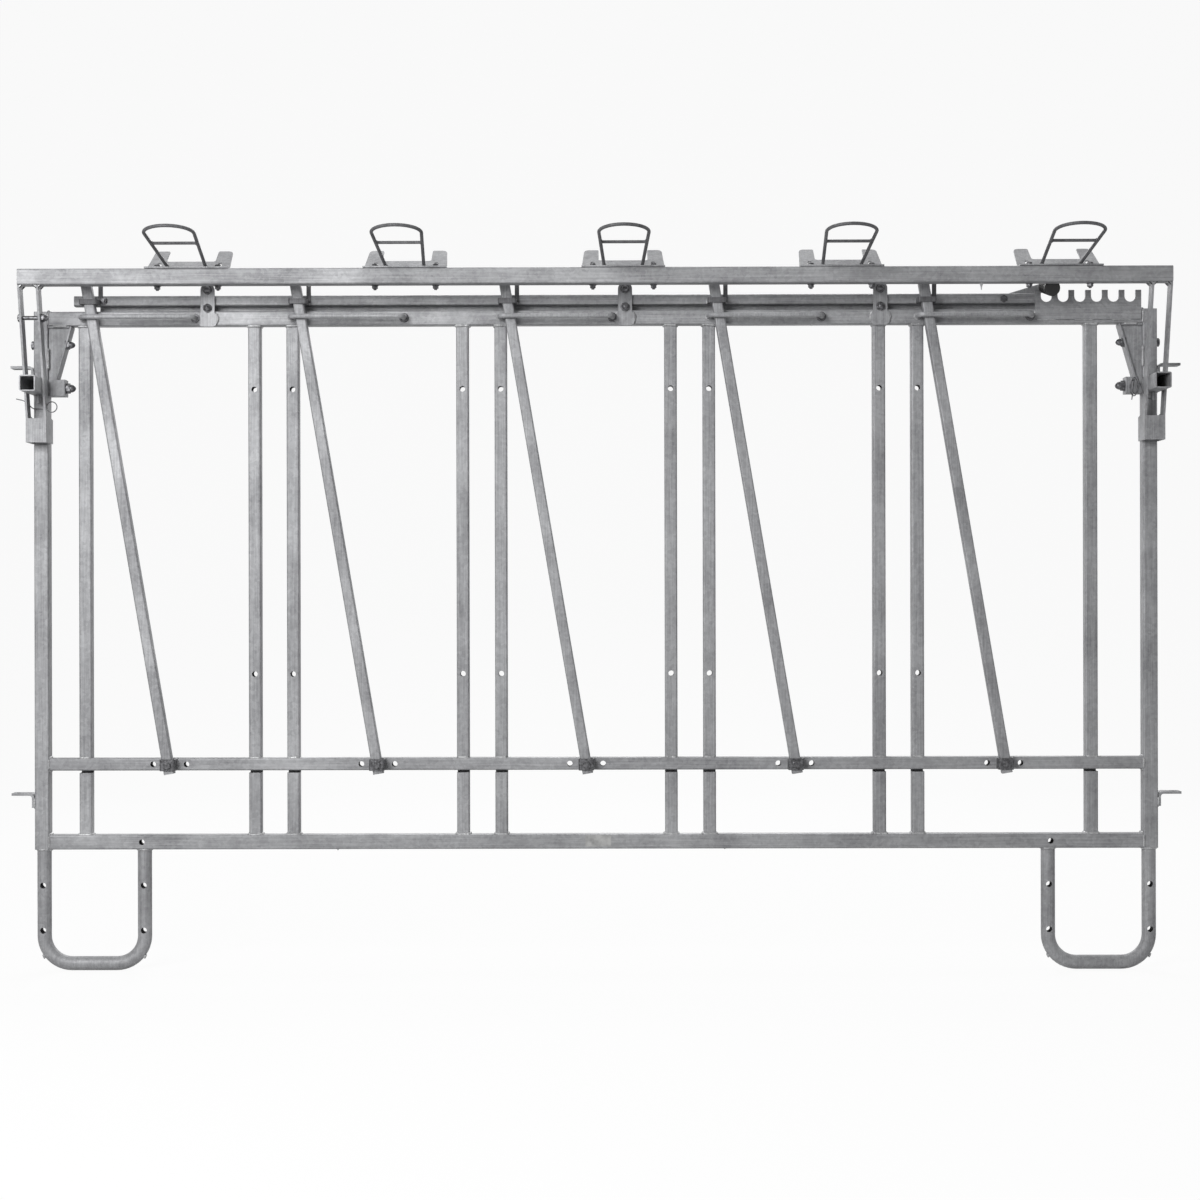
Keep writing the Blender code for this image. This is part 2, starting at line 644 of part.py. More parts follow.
def build_guide_rods(parts, steel):
    """Round bars in front of the yokes, with both ends bent back to the main rail."""
    for bay in range(BAYS):
        left = bay_left(bay) + ROD_ENDS[0]
        right = bay_left(bay) + ROD_ENDS[1]
        front = YOKE_FRONT - RUN - ROD / 2
        back = FRAME_FRONT - GAP
        bend = ROD
        points = [(left, back, MAIN_RAIL_Z)]
        points += [(left + bend * (1 - math.cos(angle)), front + bend * (1 - math.sin(angle)), MAIN_RAIL_Z)
                   for angle in [math.pi / 2 * step / 4 for step in range(5)]]
        points += [(right - bend * (1 - math.cos(angle)), front + bend * (1 - math.sin(angle)), MAIN_RAIL_Z)
                   for angle in [math.pi / 2 * (1 - step / 4) for step in range(5)]]
        points += [(right, back, MAIN_RAIL_Z)]
        finish(wire(f"guide_rod_{bay + 1}", points, ROD, parts, 2), steel, True)


def build_comb(parts, steel):
    """Plate with round-bottomed slots that open upwards."""
    radius = COMB_SLOT / 2
    outline = [(COMB_LEFT, COMB_BOTTOM), (COMB_RIGHT, COMB_BOTTOM), (COMB_RIGHT, COMB_TOP)]
    for slot in reversed(range(COMB_SLOTS)):
        x = COMB_FIRST_X + slot * COMB_PITCH
        outline.append((x + radius, COMB_TOP))
        outline += arc((x, COMB_TOP - COMB_SLOT_DEEP + radius), radius, 0, -180, 8)
        outline.append((x - radius, COMB_TOP))
    outline.append((COMB_LEFT, COMB_TOP))
    middle = FRAME_FRONT - GAP - COMB_PLATE / 2
    finish(place(plate("comb_plate", [outline], COMB_PLATE, parts), ALONG_Y, (0, middle, 0)), steel)


def build_lever(parts, cutters, steel, rubber):
    """The lever is drawn in the slot, then swung up about its pin to the rest pose."""
    pin = Vector((COMB_FIRST_X - LEVER_ARM, 0, LEVER_DOWN_Z))
    flat_front = SLIDER_FRONT + SLIDER_TUBE + GAP
    half = LEVER_TALL / 2
    outline = arc((0, 0), half, 90, 270, 8) + arc((LEVER_ARM, 0), half, -90, 90, 8)
    lever = place(plate("lever", [outline], LEVER_FLAT, parts), ALONG_Y,
                  (pin.x, flat_front + LEVER_FLAT / 2, pin.z))
    lever_pin_hole = rod("lever_hole", YOKE_BOLT / 2 + GAP, (pin.x, flat_front - LEVER_FLAT, pin.z),
                         (pin.x, flat_front + 2 * LEVER_FLAT, pin.z), cutters, 16)
    comb_front = FRAME_FRONT - GAP - COMB_PLATE
    elbow = Vector((COMB_FIRST_X, comb_front - LEVER_STRAIGHT, LEVER_DOWN_Z))
    run = Vector((0, -math.cos(LEVER_SLOPE), -math.sin(LEVER_SLOPE)))
    tip = elbow + run * (GRIP_START + GRIP_LONG)
    handle = wire("lever_rod", [(elbow.x, flat_front + LEVER_FLAT / 2, elbow.z), elbow, tip],
                  LEVER_ROD, cutters, 3)
    join(lever, handle)
    cut(lever, lever_pin_hole)

    # The grip is a sleeve with a closed, rounded end
    grip_start = elbow + run * GRIP_START
    inner = LEVER_ROD / 2 + GAP
    hollow = GRIP_LONG + GAP
    outer = GRIP / 2
    full = hollow + GRIP_END
    shoulder = GRIP_END * (1 - math.cos(math.pi / 4))
    profile = [(0.0, full), (outer - GRIP_END, full), (outer - shoulder, full - shoulder),
               (outer, full - GRIP_END), (outer, GRIP_CHAMFER), (outer - GRIP_CHAMFER, 0.0),
               (inner, 0.0), (inner, hollow), (0.0, hollow)]
    grip = turned("grip", profile, grip_start, run, parts, 18)

    swing = Matrix.Translation(pin) @ Matrix.Rotation(-LEVER_LIFT, 4, "Y") @ Matrix.Translation(-pin)
    for thing in (lever, grip, handle, lever_pin_hole):
        thing.matrix_world = swing @ thing.matrix_world
    finish(lever, steel)
    finish(grip, rubber, True)

    shank = YOKE_BOLT / 2
    wide = BOLT_HEAD / 2
    face = -SLIDER_FRONT + GAP
    profile = [(0.0, face + PIN_HEAD_TALL), (wide - BOLT_CHAMFER, face + PIN_HEAD_TALL),
               (wide, face + PIN_HEAD_TALL - BOLT_CHAMFER), (wide, face),
               (shank, face), (shank, -flat_front - LEVER_FLAT),
               (0.0, -flat_front - LEVER_FLAT)]
    finish(turned("lever_pin", profile, (pin.x, 0, pin.z), (0, -1, 0), parts, 16), steel)


def build_beam(parts, cutters, steel):
    beam_mid = BEAM_FRONT + BEAM_TUBE / 2
    beam = square_tube("top_beam", BEAM_TUBE, WALL, 2 * BEAM_REACH, ALONG_X, (0, beam_mid, BEAM_Z),
                       parts)
    finish(beam, steel)

    # Each arm is two flats that straddle the stub tube and the post, joined by a web at the foot
    top = BEAM_Z - BEAM_TUBE / 2 - GAP
    rise = top - ARM_WEB_TOP
    top_front = BEAM_FRONT + ARM_TOP_INSET
    foot_front = ARM_FOOT_FRONT
    slope = (top_front - foot_front) / rise
    side_view = [(top_front, top), (foot_front, ARM_WEB_TOP), (foot_front, ARM_BOTTOM),
                 (ARM_FOOT_REAR, ARM_BOTTOM), (ARM_FOOT_REAR, ARM_WEB_TOP),
                 (foot_front + ARM_DEEP + slope * ARM_ELBOW, ARM_WEB_TOP + ARM_ELBOW),
                 (top_front + ARM_DEEP, top)]
    for side, side_name in ((-1, "left"), (1, "right")):
        centre = side * POST_SPACING / 2
        offset = STUB_TUBE / 2 + GAP + ARM_THICK / 2
        arm = place(plate(f"arm_{side_name}", [side_view], ARM_THICK, parts), ALONG_X,
                    (centre - offset, 0, 0))
        other = place(plate(f"arm_flat_{side_name}", [side_view], ARM_THICK, cutters), ALONG_X,
                      (centre + offset, 0, 0))
        web = block(f"arm_web_{side_name}",
                    (centre - offset - ARM_THICK / 2, foot_front, ARM_BOTTOM),
                    (centre + offset + ARM_THICK / 2, foot_front + ARM_THICK, ARM_WEB_TOP), cutters)
        join(arm, other, web)
        finish(arm, steel)

        front = FRAME_FRONT - GAP
        stub = square_tube(f"stub_{side_name}", STUB_TUBE, STUB_WALL, STUB_REACH,
                           ((1, 0, 0), (0, 0, 1), (0, -1, 0)),
                           (centre, front - STUB_REACH / 2, STUB_Z), parts)
        reach = STUB_TUBE
        cut(stub, rod(f"clip_pin_hole_{side_name}", CLIP_PIN / 2 + GAP, (centre, CLIP_PIN_Y, STUB_Z - reach),
                      (centre, CLIP_PIN_Y, STUB_Z + reach), cutters, 16))
        finish(stub, steel)
        finish(build_clip_pin(f"clip_pin_{side_name}", centre, parts), steel)


def build_clip_pin(name, x, parts):
    """A headed pin that drops through the stub tube. Its origin is under its head."""
    radius = CLIP_PIN / 2
    low = -STUB_TUBE - CLIP_PIN_BELOW
    profile = [(0.0, CLIP_PIN_HEAD_TALL + GAP), (CLIP_PIN_HEAD / 2, CLIP_PIN_HEAD_TALL + GAP),
               (CLIP_PIN_HEAD / 2, GAP), (radius, GAP), (radius, low + radius / 2),
               (radius / 2, low), (0.0, low)]
    return turned(name, profile, (x, CLIP_PIN_Y, STUB_Z + STUB_TUBE / 2), (0, 0, 1), parts, 16)


def build_gussets(parts, cutters, steel):
    """Folded corner brackets under the main rail, each with a clamp block and two bolt bosses."""
    for side, side_name in ((-1, "left"), (1, "right")):
        inner = POST_SPACING / 2 - FRAME_TUBE / 2 - GAP
        top = GUSSET_TOP
        outline = [(side * inner, top), (side * (inner - GUSSET_WIDE), top),
                   (side * (inner - GUSSET_WIDE), top - GUSSET_LIP),
                   (side * (inner - GUSSET_TOE), top - GUSSET_TALL), (side * inner, top - GUSSET_TALL)]
        depth_mid = FRAME_FRONT + GUSSET_DEEP / 2
        gusset = place(plate(f"gusset_{side_name}", [outline], GUSSET_DEEP, parts), ALONG_Y,
                       (0, depth_mid, 0))
        hollow = [(x + side * GUSSET_SHEET, z + GUSSET_SHEET * 2) for x, z in outline]
        cut(gusset, place(plate(f"gusset_hollow_{side_name}", [hollow],
                                GUSSET_DEEP - 2 * GUSSET_SHEET, cutters), ALONG_Y,
                          (0, depth_mid, 0)))
        clamp_x = side * (inner - CLAMP_SIDE / 2)
        clamp = block(f"clamp_{side_name}",
                      (clamp_x - CLAMP_SIDE / 2, depth_mid - GUSSET_DEEP / 2, CLAMP_Z - CLAMP_SIDE / 2),
                      (clamp_x + CLAMP_SIDE / 2, depth_mid + GUSSET_DEEP / 2, CLAMP_Z + CLAMP_SIDE / 2),
                      cutters)
        boss_x = side * (inner - CLAMP_SIDE)
        boss = rod(f"clamp_boss_{side_name}", BOSS / 2, (boss_x + side * BOSS_SUNK, depth_mid, CLAMP_Z),
                   (boss_x - side * BOSS_OUT, depth_mid, CLAMP_Z), cutters, 12)
        join(gusset, clamp, boss)
        finish(gusset, steel)


def build_holders(parts, cutters, steel):
    """Folded brackets on the beam: a base, two ears that lean back and a wire loop to the front."""
    beam_top = BEAM_Z + BEAM_TUBE / 2 + GAP
    beam_mid = BEAM_FRONT + BEAM_TUBE / 2
    base_rear = BEAM_FRONT + BEAM_TUBE
    ear_long = math.hypot(EAR_BACK, EAR_UP)
    lean = math.atan2(EAR_UP, EAR_BACK)
    first_x = -BEAM_REACH + HOLDER_ENDS[0]
    pitch = (2 * BEAM_REACH - sum(HOLDER_ENDS)) / (HOLDERS - 1)
    for number in range(1, HOLDERS + 1):
        x = first_x + pitch * (number - 1)
        half = HOLDER_LONG / 2
        holder = block(f"holder_{number}", (x - half, BEAM_FRONT + 0.001, beam_top),
                       (x + half, base_rear, beam_top + HOLDER_SHEET), parts)
        bridge = ear_long * BRIDGE_SHARE
        top = ear_long - EAR_CORNER
        sheet = [(-half, 0.0), (half, 0.0)]
        sheet += arc((half - EAR_CORNER, top), EAR_CORNER, 0, 90, 4)
        sheet += [(half - EAR_WIDE, ear_long), (half - EAR_WIDE, bridge),
                  (-half + EAR_WIDE, bridge), (-half + EAR_WIDE, ear_long)]
        sheet += arc((-half + EAR_CORNER, top), EAR_CORNER, 90, 180, 4)
        up = (0, math.cos(lean), math.sin(lean))
        out = (0, -math.sin(lean), math.cos(lean))
        ears = plate(f"ears_{number}", [sheet], HOLDER_SHEET, cutters)
        place(ears, ((1, 0, 0), up, out), (x, base_rear - HOLDER_SHEET, beam_top + HOLDER_SHEET / 2))
        join(holder, ears)

        # Loop: two straight legs that rise forwards, a round nose, and a cross bar between the legs
        foot_z = beam_top + LOOP_WIRE / 2
        nose = [(-LOOP_SHOULDERS / 2 * math.cos(math.pi * step / LOOP_STEPS),
                 LOOP_LEG + LOOP_NOSE * math.sin(math.pi * step / LOOP_STEPS))
                for step in range(LOOP_STEPS + 1)]
        flat_loop = [(-LOOP_FEET / 2, 0)] + nose + [(LOOP_FEET / 2, 0)]
        bar_half = (LOOP_FEET + (LOOP_SHOULDERS - LOOP_FEET) * LOOP_BAR_SHARE) / 2
        flat_bar = [(-bar_half, LOOP_LEG * LOOP_BAR_SHARE), (bar_half, LOOP_LEG * LOOP_BAR_SHARE)]
        loop, bar = [wire(f"loop_{part}_{number}",
                          [(x + across, beam_mid - ahead, foot_z + ahead * math.tan(LOOP_TILT))
                           for across, ahead in flat], thick, cutters, 2)
                     for part, flat, thick in (("bow", flat_loop, LOOP_WIRE),
                                               ("bar", flat_bar, LOOP_WIRE * 0.9))]
        join(holder, loop, bar)
        finish(holder, steel)


def main():
    for thing in list(bpy.data.objects):
        bpy.data.objects.remove(thing)
    parts = new_collection("calf_headlock")
    cutters = new_collection("cutters")
    cutters.hide_render = True
    steel = material("galvanised_steel", GALVANISED, 0.85, 0.45)
    dark = material("bolt_steel", DARK_STEEL, 0.85, 0.5)
    rubber = material("black_rubber", RUBBER, 0.0, 0.6)
    build_rails(parts, cutters, steel)
    build_end_posts(parts, cutters, steel)
    build_posts(parts, cutters, steel)
    build_feet(parts, cutters, steel)
    build_lugs(parts, cutters, steel)
    build_yokes(parts, cutters, steel, dark)
    build_slider(parts, cutters, steel)
    build_rear_guide(parts, steel)
    build_guides(parts, cutters, steel)
    build_guide_rods(parts, steel)
    build_comb(parts, steel)
    build_lever(parts, cutters, steel, rubber)
    build_beam(parts, cutters, steel)
    build_gussets(parts, cutters, steel)
    build_holders(parts, cutters, steel)


main()
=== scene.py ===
import json
import math
import bmesh
import bpy
import numpy as np
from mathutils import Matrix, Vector
from numpy.linalg import norm

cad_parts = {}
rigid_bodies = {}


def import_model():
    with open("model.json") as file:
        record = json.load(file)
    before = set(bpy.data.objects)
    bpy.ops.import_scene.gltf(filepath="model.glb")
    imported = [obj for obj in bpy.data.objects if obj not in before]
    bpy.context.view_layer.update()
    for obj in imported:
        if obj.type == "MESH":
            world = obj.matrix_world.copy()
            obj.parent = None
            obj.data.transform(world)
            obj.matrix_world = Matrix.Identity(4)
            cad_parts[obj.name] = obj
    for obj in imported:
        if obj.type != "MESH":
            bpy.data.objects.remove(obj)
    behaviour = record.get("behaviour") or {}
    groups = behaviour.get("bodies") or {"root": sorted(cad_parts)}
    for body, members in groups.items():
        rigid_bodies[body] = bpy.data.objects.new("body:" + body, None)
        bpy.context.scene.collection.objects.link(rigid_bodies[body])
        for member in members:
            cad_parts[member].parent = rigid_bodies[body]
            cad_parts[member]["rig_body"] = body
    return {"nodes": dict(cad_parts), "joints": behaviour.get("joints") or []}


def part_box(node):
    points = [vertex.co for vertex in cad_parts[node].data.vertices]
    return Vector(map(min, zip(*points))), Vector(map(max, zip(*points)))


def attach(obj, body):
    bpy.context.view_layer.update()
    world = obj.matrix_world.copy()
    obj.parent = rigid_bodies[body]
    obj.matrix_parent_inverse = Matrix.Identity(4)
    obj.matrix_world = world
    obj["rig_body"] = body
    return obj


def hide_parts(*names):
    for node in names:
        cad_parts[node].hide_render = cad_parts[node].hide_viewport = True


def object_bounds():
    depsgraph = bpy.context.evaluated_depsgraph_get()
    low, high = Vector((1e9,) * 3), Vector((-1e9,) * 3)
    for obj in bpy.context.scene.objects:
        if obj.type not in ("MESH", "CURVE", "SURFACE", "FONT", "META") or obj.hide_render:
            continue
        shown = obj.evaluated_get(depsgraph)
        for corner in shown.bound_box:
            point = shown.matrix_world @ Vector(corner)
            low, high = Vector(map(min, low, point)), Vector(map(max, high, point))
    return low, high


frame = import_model()
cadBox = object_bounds()
noise = np.random.default_rng(11)
print("frame loaded:", len(frame["nodes"]), "nodes")

# Materials

def linearColour(code):
    # sRGB hex to linear, with full alpha
    parts = [int(code[i:i + 2], 16) / 255 for i in (1, 3, 5)]
    return tuple(c / 12.92 if c <= 0.04045 else ((c + 0.055) / 1.055) ** 2.4 for c in parts) + (1.0,)


def feed(owner, node, links):
    # plugs sockets, or nodes by their first output, into a node's named sockets
    for name, source in links.items():
        owner.node_tree.links.new(getattr(source, "outputs", [source])[0], node.inputs[name])


def addNode(owner, kind, settings=None, values=None, links=None, stops=()):
    # one node of a material or the world, with its settings, sockets' values, links and ramp colours
    node = owner.node_tree.nodes.new("ShaderNode" + kind)
    for name, value in (settings or {}).items():
        setattr(node, name, value)
    for name, value in (values or {}).items():
        node.inputs[name].default_value = value
    for number, (place, colour) in enumerate(stops):
        node.color_ramp.elements[number].position = place
        node.color_ramp.elements[number].color = linearColour(colour)
    feed(owner, node, links or {})
    return node


def newMaterial(name):
    # a material, its shader and the object's own coordinates
    material = bpy.data.materials.new(name)
    material.use_nodes = True
    place = addNode(material, "TexCoord").outputs["Object"]
    return material, material.node_tree.nodes["Principled BSDF"], place


galvanised = {
    "spangleMm": 7.0,       # width of a zinc crystal on thin tube
    "warpMm": 6.0,          # how far the crystals' edges wander
    "cloudMm": 130.0,       # dull patches left as the zinc cools
    "grainMm": 1.8,
    "streakMm": (2.6, 120.0),   # across and along the tube
    "shares": (0.55, 0.13, 0.55, 0.24),     # what cloud, crystal, streak and grain add to the grey
    "dark": (0.50, "#808083"),  # the greys, and where in that sum they are reached
    "light": (0.96, "#bdbec0"),
    "metallic": 0.25,
    "roughness": (0.50, 0.62),
    "bump": 0.30,
    "bumpMm": 0.5,
}


def hotDipGalvanisedSteel(name, look, along=2):
    # Hot-dip galvanised mild steel: dull grey zinc with faint crystals, cloudy patches and draw lines
    # that run along the tube. The eye sees soft broad glints between slightly darker, rougher patches.
    material, shader, place = newMaterial(name)
    cell = 1000.0 / look["spangleMm"]
    bend = addNode(material, "TexNoise", values={"Scale": cell * 0.7, "Detail": 2.0}, links={"Vector": place})
    shifted = addNode(material, "VectorMath", {"operation": "MULTIPLY_ADD"},
                      {1: (look["warpMm"] / 1000,) * 3}, {0: bend.outputs["Color"], 2: place})
    crystal = addNode(material, "TexVoronoi", {"feature": "F1"}, {"Scale": cell}, {"Vector": shifted})
    flake = addNode(material, "SeparateColor", links={"Color": crystal.outputs["Color"]})
    cloud = addNode(material, "TexNoise",
                    values={"Scale": 1000.0 / look["cloudMm"], "Detail": 6.0, "Roughness": 0.58},
                    links={"Vector": place})
    stretch = [1000.0 / look["streakMm"][0]] * 3
    stretch[along] = 1000.0 / look["streakMm"][1]
    drawn = addNode(material, "Mapping", values={"Scale": stretch}, links={"Vector": place})
    streak = addNode(material, "TexNoise", values={"Scale": 1.0, "Detail": 3.0, "Roughness": 0.6},
                     links={"Vector": drawn})
    grain = addNode(material, "TexNoise",
                    values={"Scale": 1000.0 / look["grainMm"], "Detail": 3.0, "Roughness": 0.6},
                    links={"Vector": place})
    total = addNode(material, "Math", {"operation": "MULTIPLY"}, {1: look["shares"][0]}, {0: cloud})
    for source, share in zip((flake, streak, grain), look["shares"][1:]):
        total = addNode(material, "Math", {"operation": "MULTIPLY_ADD"}, {1: share}, {0: source, 2: total})
    colour = addNode(material, "ValToRGB", links={"Fac": total}, stops=(look["dark"], look["light"]))
    rough = addNode(material, "MapRange",
                    values={"From Min": 0.35, "From Max": 0.65, "To Min": look["roughness"][1],
                            "To Max": look["roughness"][0]}, links={"Value": cloud})
    lumps = addNode(material, "Math", {"operation": "MULTIPLY_ADD"}, {1: 0.4}, {0: grain, 2: bend})
    bump = addNode(material, "Bump", values={"Strength": look["bump"], "Distance": look["bumpMm"] / 1000},
                   links={"Height": lumps})
    shader.inputs["Metallic"].default_value = look["metallic"]
    feed(material, shader, {"Base Color": colour, "Roughness": rough, "Normal": bump})
    material.diffuse_color = linearColour(look["light"][1])
    return material


def stained(name, look):
    # one noise blends two colours and, where given, two roughnesses; a finer one gives a skin its bumps
    material, shader, place = newMaterial(name)
    stain = addNode(material, "TexNoise", values={"Scale": look["scale"], "Detail": look["detail"]},
                    links={"Vector": place})
    links = {"Base Color": addNode(material, "ValToRGB", links={"Fac": stain}, stops=look["stops"])}
    shader.inputs["Metallic"].default_value = look["metallic"]
    shader.inputs["Roughness"].default_value = look["roughness"]
    if "smoothest" in look:
        ends = {"To Min": look["roughness"], "To Max": look["smoothest"]}
        links["Roughness"] = addNode(material, "MapRange", values=ends, links={"Value": stain})
    if "skin" in look:
        skin = addNode(material, "TexNoise", values={"Scale": look["skin"], "Detail": 2.0},
                       links={"Vector": place})
        links["Normal"] = addNode(material, "Bump", values={"Strength": 0.25, "Distance": 0.0003},
                                  links={"Height": skin})
    feed(material, shader, links)
    return material


# Electroplated bolts and nuts: smoother and a little darker than the dipped tubes, with blotches of dirt
platedLook = {"scale": 160.0, "detail": 4.0, "stops": ((0.35, "#454547"), (0.7, "#828285")), "metallic": 0.6,
              "roughness": 0.5, "smoothest": 0.3}
# Moulded black rubber grip: matt, with a fine orange-peel skin and dusty patches
rubberLook = {"scale": 45.0, "detail": 4.0, "stops": ((0.4, "#0b0b0c"), (0.75, "#1c1d1e")), "metallic": 0.0,
              "roughness": 0.55, "skin": 900.0}
# Blank grey-white vinyl label, slightly glossy, with a film of dirt
vinylLook = {"scale": 70.0, "detail": 5.0, "stops": ((0.3, "#9b9b9b"), (0.65, "#c9c9c8")), "metallic": 0.0,
             "roughness": 0.35}
# Weld zinc: a lighter grey than the tubes, a painted highlight on the beads, fillets and drips, and smoother
paintedHighlightWeldLook = {**galvanised, "streakMm": (3.0, 6.0), "dark": (0.50, "#8a8a8c"), "light": (0.96, "#d4d5d6"),
            "roughness": (0.36, 0.48)}
# Darker zinc: painted shade on the slider's catches under the beam, also given to the holder wires
paintedShadeLook = {**galvanised, "dark": (0.50, "#4a4a4c"), "light": (0.96, "#7c7c7f")}
zinc = hotDipGalvanisedSteel("galvanised_uprights", galvanised)
railZinc = hotDipGalvanisedSteel("galvanised_rails", galvanised, 0)
paintedHighlightWeldZinc = hotDipGalvanisedSteel("galvanised_weld", paintedHighlightWeldLook, 0)
paintedShadeZinc = hotDipGalvanisedSteel("galvanised_worn_straps", paintedShadeLook)
plated = stained("zinc_plated_bolts", platedLook)
rubber = stained("moulded_black_rubber", rubberLook)
label = stained("blank_vinyl_label", vinylLook)
for node in frame["nodes"].values():
    for spot in range(len(node.data.materials)):
        node.data.materials[spot] = zinc
print("materials ready")

# Mesh helpers

upright = ((1, 0, 0), (0, 0, 1), (0, -1, 0))    # axes of a plate that faces the front
merge = {"distance": 0.00002, "flat": math.radians(0.4), "sharpDeg": 50.0}


def placed(name, data):
    # a new object at the origin for a mesh, lamp or camera
    thing = bpy.data.objects.new(name, data)
    bpy.context.scene.collection.objects.link(thing)
    return thing


def joinedMesh(name, surfaces):
    # one mesh from several pairs of points and faces
    points, faces, base = [], [], 0
    for surface, polygons in surfaces:
        points.append(np.asarray(surface, float))
        faces += [tuple(int(i) + base for i in polygon) for polygon in polygons]
        base += len(surface)
    mesh = bpy.data.meshes.new(name)
    mesh.from_pydata(np.concatenate(points).tolist(), [], faces)
    return mesh


def smoothed(thing, sharp=40.0):
    # smooth up to the sharp angle, while weighted normals keep flats flat
    thing.data.shade_smooth()
    thing.data.set_sharp_from_angle(angle=math.radians(sharp))
    modifier = thing.modifiers.new("flatFaces", "WEIGHTED_NORMAL")
    modifier.keep_sharp = True
    modifier.weight = 60


def visible(name, mesh, material, body, sharp, replaced):
    # an object that rides on a body, fills a slot and stands for the replaced CAD nodes
    mesh.materials.clear()
    mesh.materials.append(material)
    thing = placed(name, mesh)
    smoothed(thing, sharp)
    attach(thing, body)
    if replaced:
        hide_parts(*replaced)
    return thing


def piece(name, surfaces, material, body="frame", sharp=40.0, replaced=()):
    # a new piece from pairs of points and faces
    mesh = joinedMesh(name, surfaces)
    mesh.validate()
    return visible(name, mesh, material, body, sharp, replaced)


def dressNode(node, material):
    # a merged, smooth-cornered copy of a CAD node, which then stands for it
    source = frame["nodes"][node]
    mesh = source.data.copy()
    work = bmesh.new()
    work.from_mesh(mesh)
    bmesh.ops.remove_doubles(work, verts=work.verts, dist=merge["distance"])
    bmesh.ops.dissolve_limit(work, angle_limit=merge["flat"], verts=work.verts, edges=work.edges)
    work.to_mesh(mesh)
    work.free()
    if mesh.has_custom_normals:
        mesh.attributes.remove(mesh.attributes["custom_normal"])
    name, body = node + "_dressed", source["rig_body"]
    return visible(name, mesh, material, body, merge["sharpDeg"], [node])


def stripFaces(rows, columns, wrap):
    # quads between neighbouring rows of a grid, closed round its columns if wrap
    last = columns if wrap else columns - 1
    row, column = np.meshgrid(np.arange(rows - 1), np.arange(last), indexing="ij")
    row, column = row.ravel(), column.ravel()
    after = (column + 1) % columns
    return np.stack([row * columns + column, row * columns + after, (row + 1) * columns + after,
                     (row + 1) * columns + column], 1).tolist()


def solidFaces(rows, columns):
    # quads round a stack of rings, with a cap on the first and the last
    return stripFaces(rows, columns, True) + [tuple(range(columns - 1, -1, -1)),
                                              tuple(range((rows - 1) * columns, rows * columns))]


def turned(faces):
    # the same faces, looking the other way
    return [tuple(reversed(face)) for face in faces]


def alongPath(path, up=(0, 0, 1), closed=False):
    # unit side and over vectors at each point of a path, both square to it, with the side square to up
    tangent = np.roll(path, -1, 0) - np.roll(path, 1, 0) if closed else np.gradient(path, axis=0)
    tangent /= norm(tangent, axis=1, keepdims=True)
    side = np.cross(tangent, np.broadcast_to(up, tangent.shape))
    length = norm(side, axis=1, keepdims=True)
    side = np.where(length > 1e-6, side / np.maximum(length, 1e-9), (1.0, 0.0, 0.0))
    return side, np.cross(side, tangent)


def carried(path, radius, sides=16, up=(0, 0, 1), closed=False):
    # round bar: point = path + radius * (cos a * side + sin a * over), with one radius or one for each point
    path = np.asarray(path, float)
    side, over = alongPath(path, up, closed)
    angle = np.linspace(0, 2 * np.pi, sides, endpoint=False)
    ring = side[:, None] * np.cos(angle)[:, None] + over[:, None] * np.sin(angle)[:, None]
    size = np.broadcast_to(np.asarray(radius, float), len(path))
    points = (path[:, None] + ring * size[:, None, None]).reshape(-1, 3)
    if closed:
        last = (len(path) - 1) * sides
        faces = stripFaces(len(path), sides, True)
        faces += [(last + i, last + (i + 1) % sides, (i + 1) % sides, i) for i in range(sides)]
    else:
        faces = solidFaces(len(path), sides)
    # side x over points back along the path, so the faces are turned to look outwards
    return points, turned(faces)


def acrossAxis(axis):
    # the unit axis and two unit vectors square to it
    axis = np.asarray(axis, float) / norm(axis)
    first = np.cross(axis, (0.0, 0.0, 1.0) if abs(axis[2]) < 0.9 else (0.0, 1.0, 0.0))
    first /= norm(first)
    return axis, first, np.cross(axis, first)


def roundTurn(profile, where, axis, sides=24, hexRows=()):
    # turned solid: rings of (radius, height) about an axis; rows in hexRows are drawn as hexagons, whose
    # reach at an angle is the radius over the cosine of the angle from the middle of the nearest flat
    axis, first, second = acrossAxis(axis)
    angle = np.linspace(0, 2 * np.pi, sides, endpoint=False)
    sector = np.pi / 6
    rows = []
    for number, (radius, height) in enumerate(profile):
        reach = np.full(sides, radius)
        if number in hexRows:
            reach = radius / np.cos((angle + sector) % (2 * sector) - sector)
        rows.append(where + axis * height + reach[:, None] *
                    (np.cos(angle)[:, None] * first + np.sin(angle)[:, None] * second))
    return np.concatenate(rows), solidFaces(len(profile), sides)


def slab(outline, thickness, axes, where, edge=0.0006):
    # flat plate with a small chamfer: the outline is drawn in by the edge on both faces
    outline = np.asarray(outline, float)
    before, after = np.roll(outline, 1, 0), np.roll(outline, -1, 0)
    inward = []
    area = np.sum(outline[:, 0] * after[:, 1] - after[:, 0] * outline[:, 1])
    turnSign = 1.0 if area > 0 else -1.0
    for a, b, c in zip(before, outline, after):
        one, two = (b - a) / max(norm(b - a), 1e-9), (c - b) / max(norm(c - b), 1e-9)
        normal = np.array([-(one + two)[1], (one + two)[0]])
        length = norm(normal)
        inward.append(turnSign * normal / length / max(length / 2, 0.4) if length > 1e-6 else (0.0, 0.0))
    inner = outline + np.asarray(inward) * edge
    half = thickness / 2
    rows = [(inner, -half), (outline, -half + edge), (outline, half - edge), (inner, half)]
    axes = np.asarray(axes, float)
    points = np.concatenate([where + flat[:, :1] * axes[0] + flat[:, 1:] * axes[1] + height * axes[2]
                             for flat, height in rows])
    faces = solidFaces(len(rows), len(outline))
    return points, turned(faces) if turnSign * np.linalg.det(axes) < 0 else faces


def arcPoints(centre, radius, start, end, count=8):
    angle = np.radians(np.linspace(start, end, count))
    return np.stack([centre[0] + radius * np.cos(angle), centre[1] + radius * np.sin(angle)], 1)


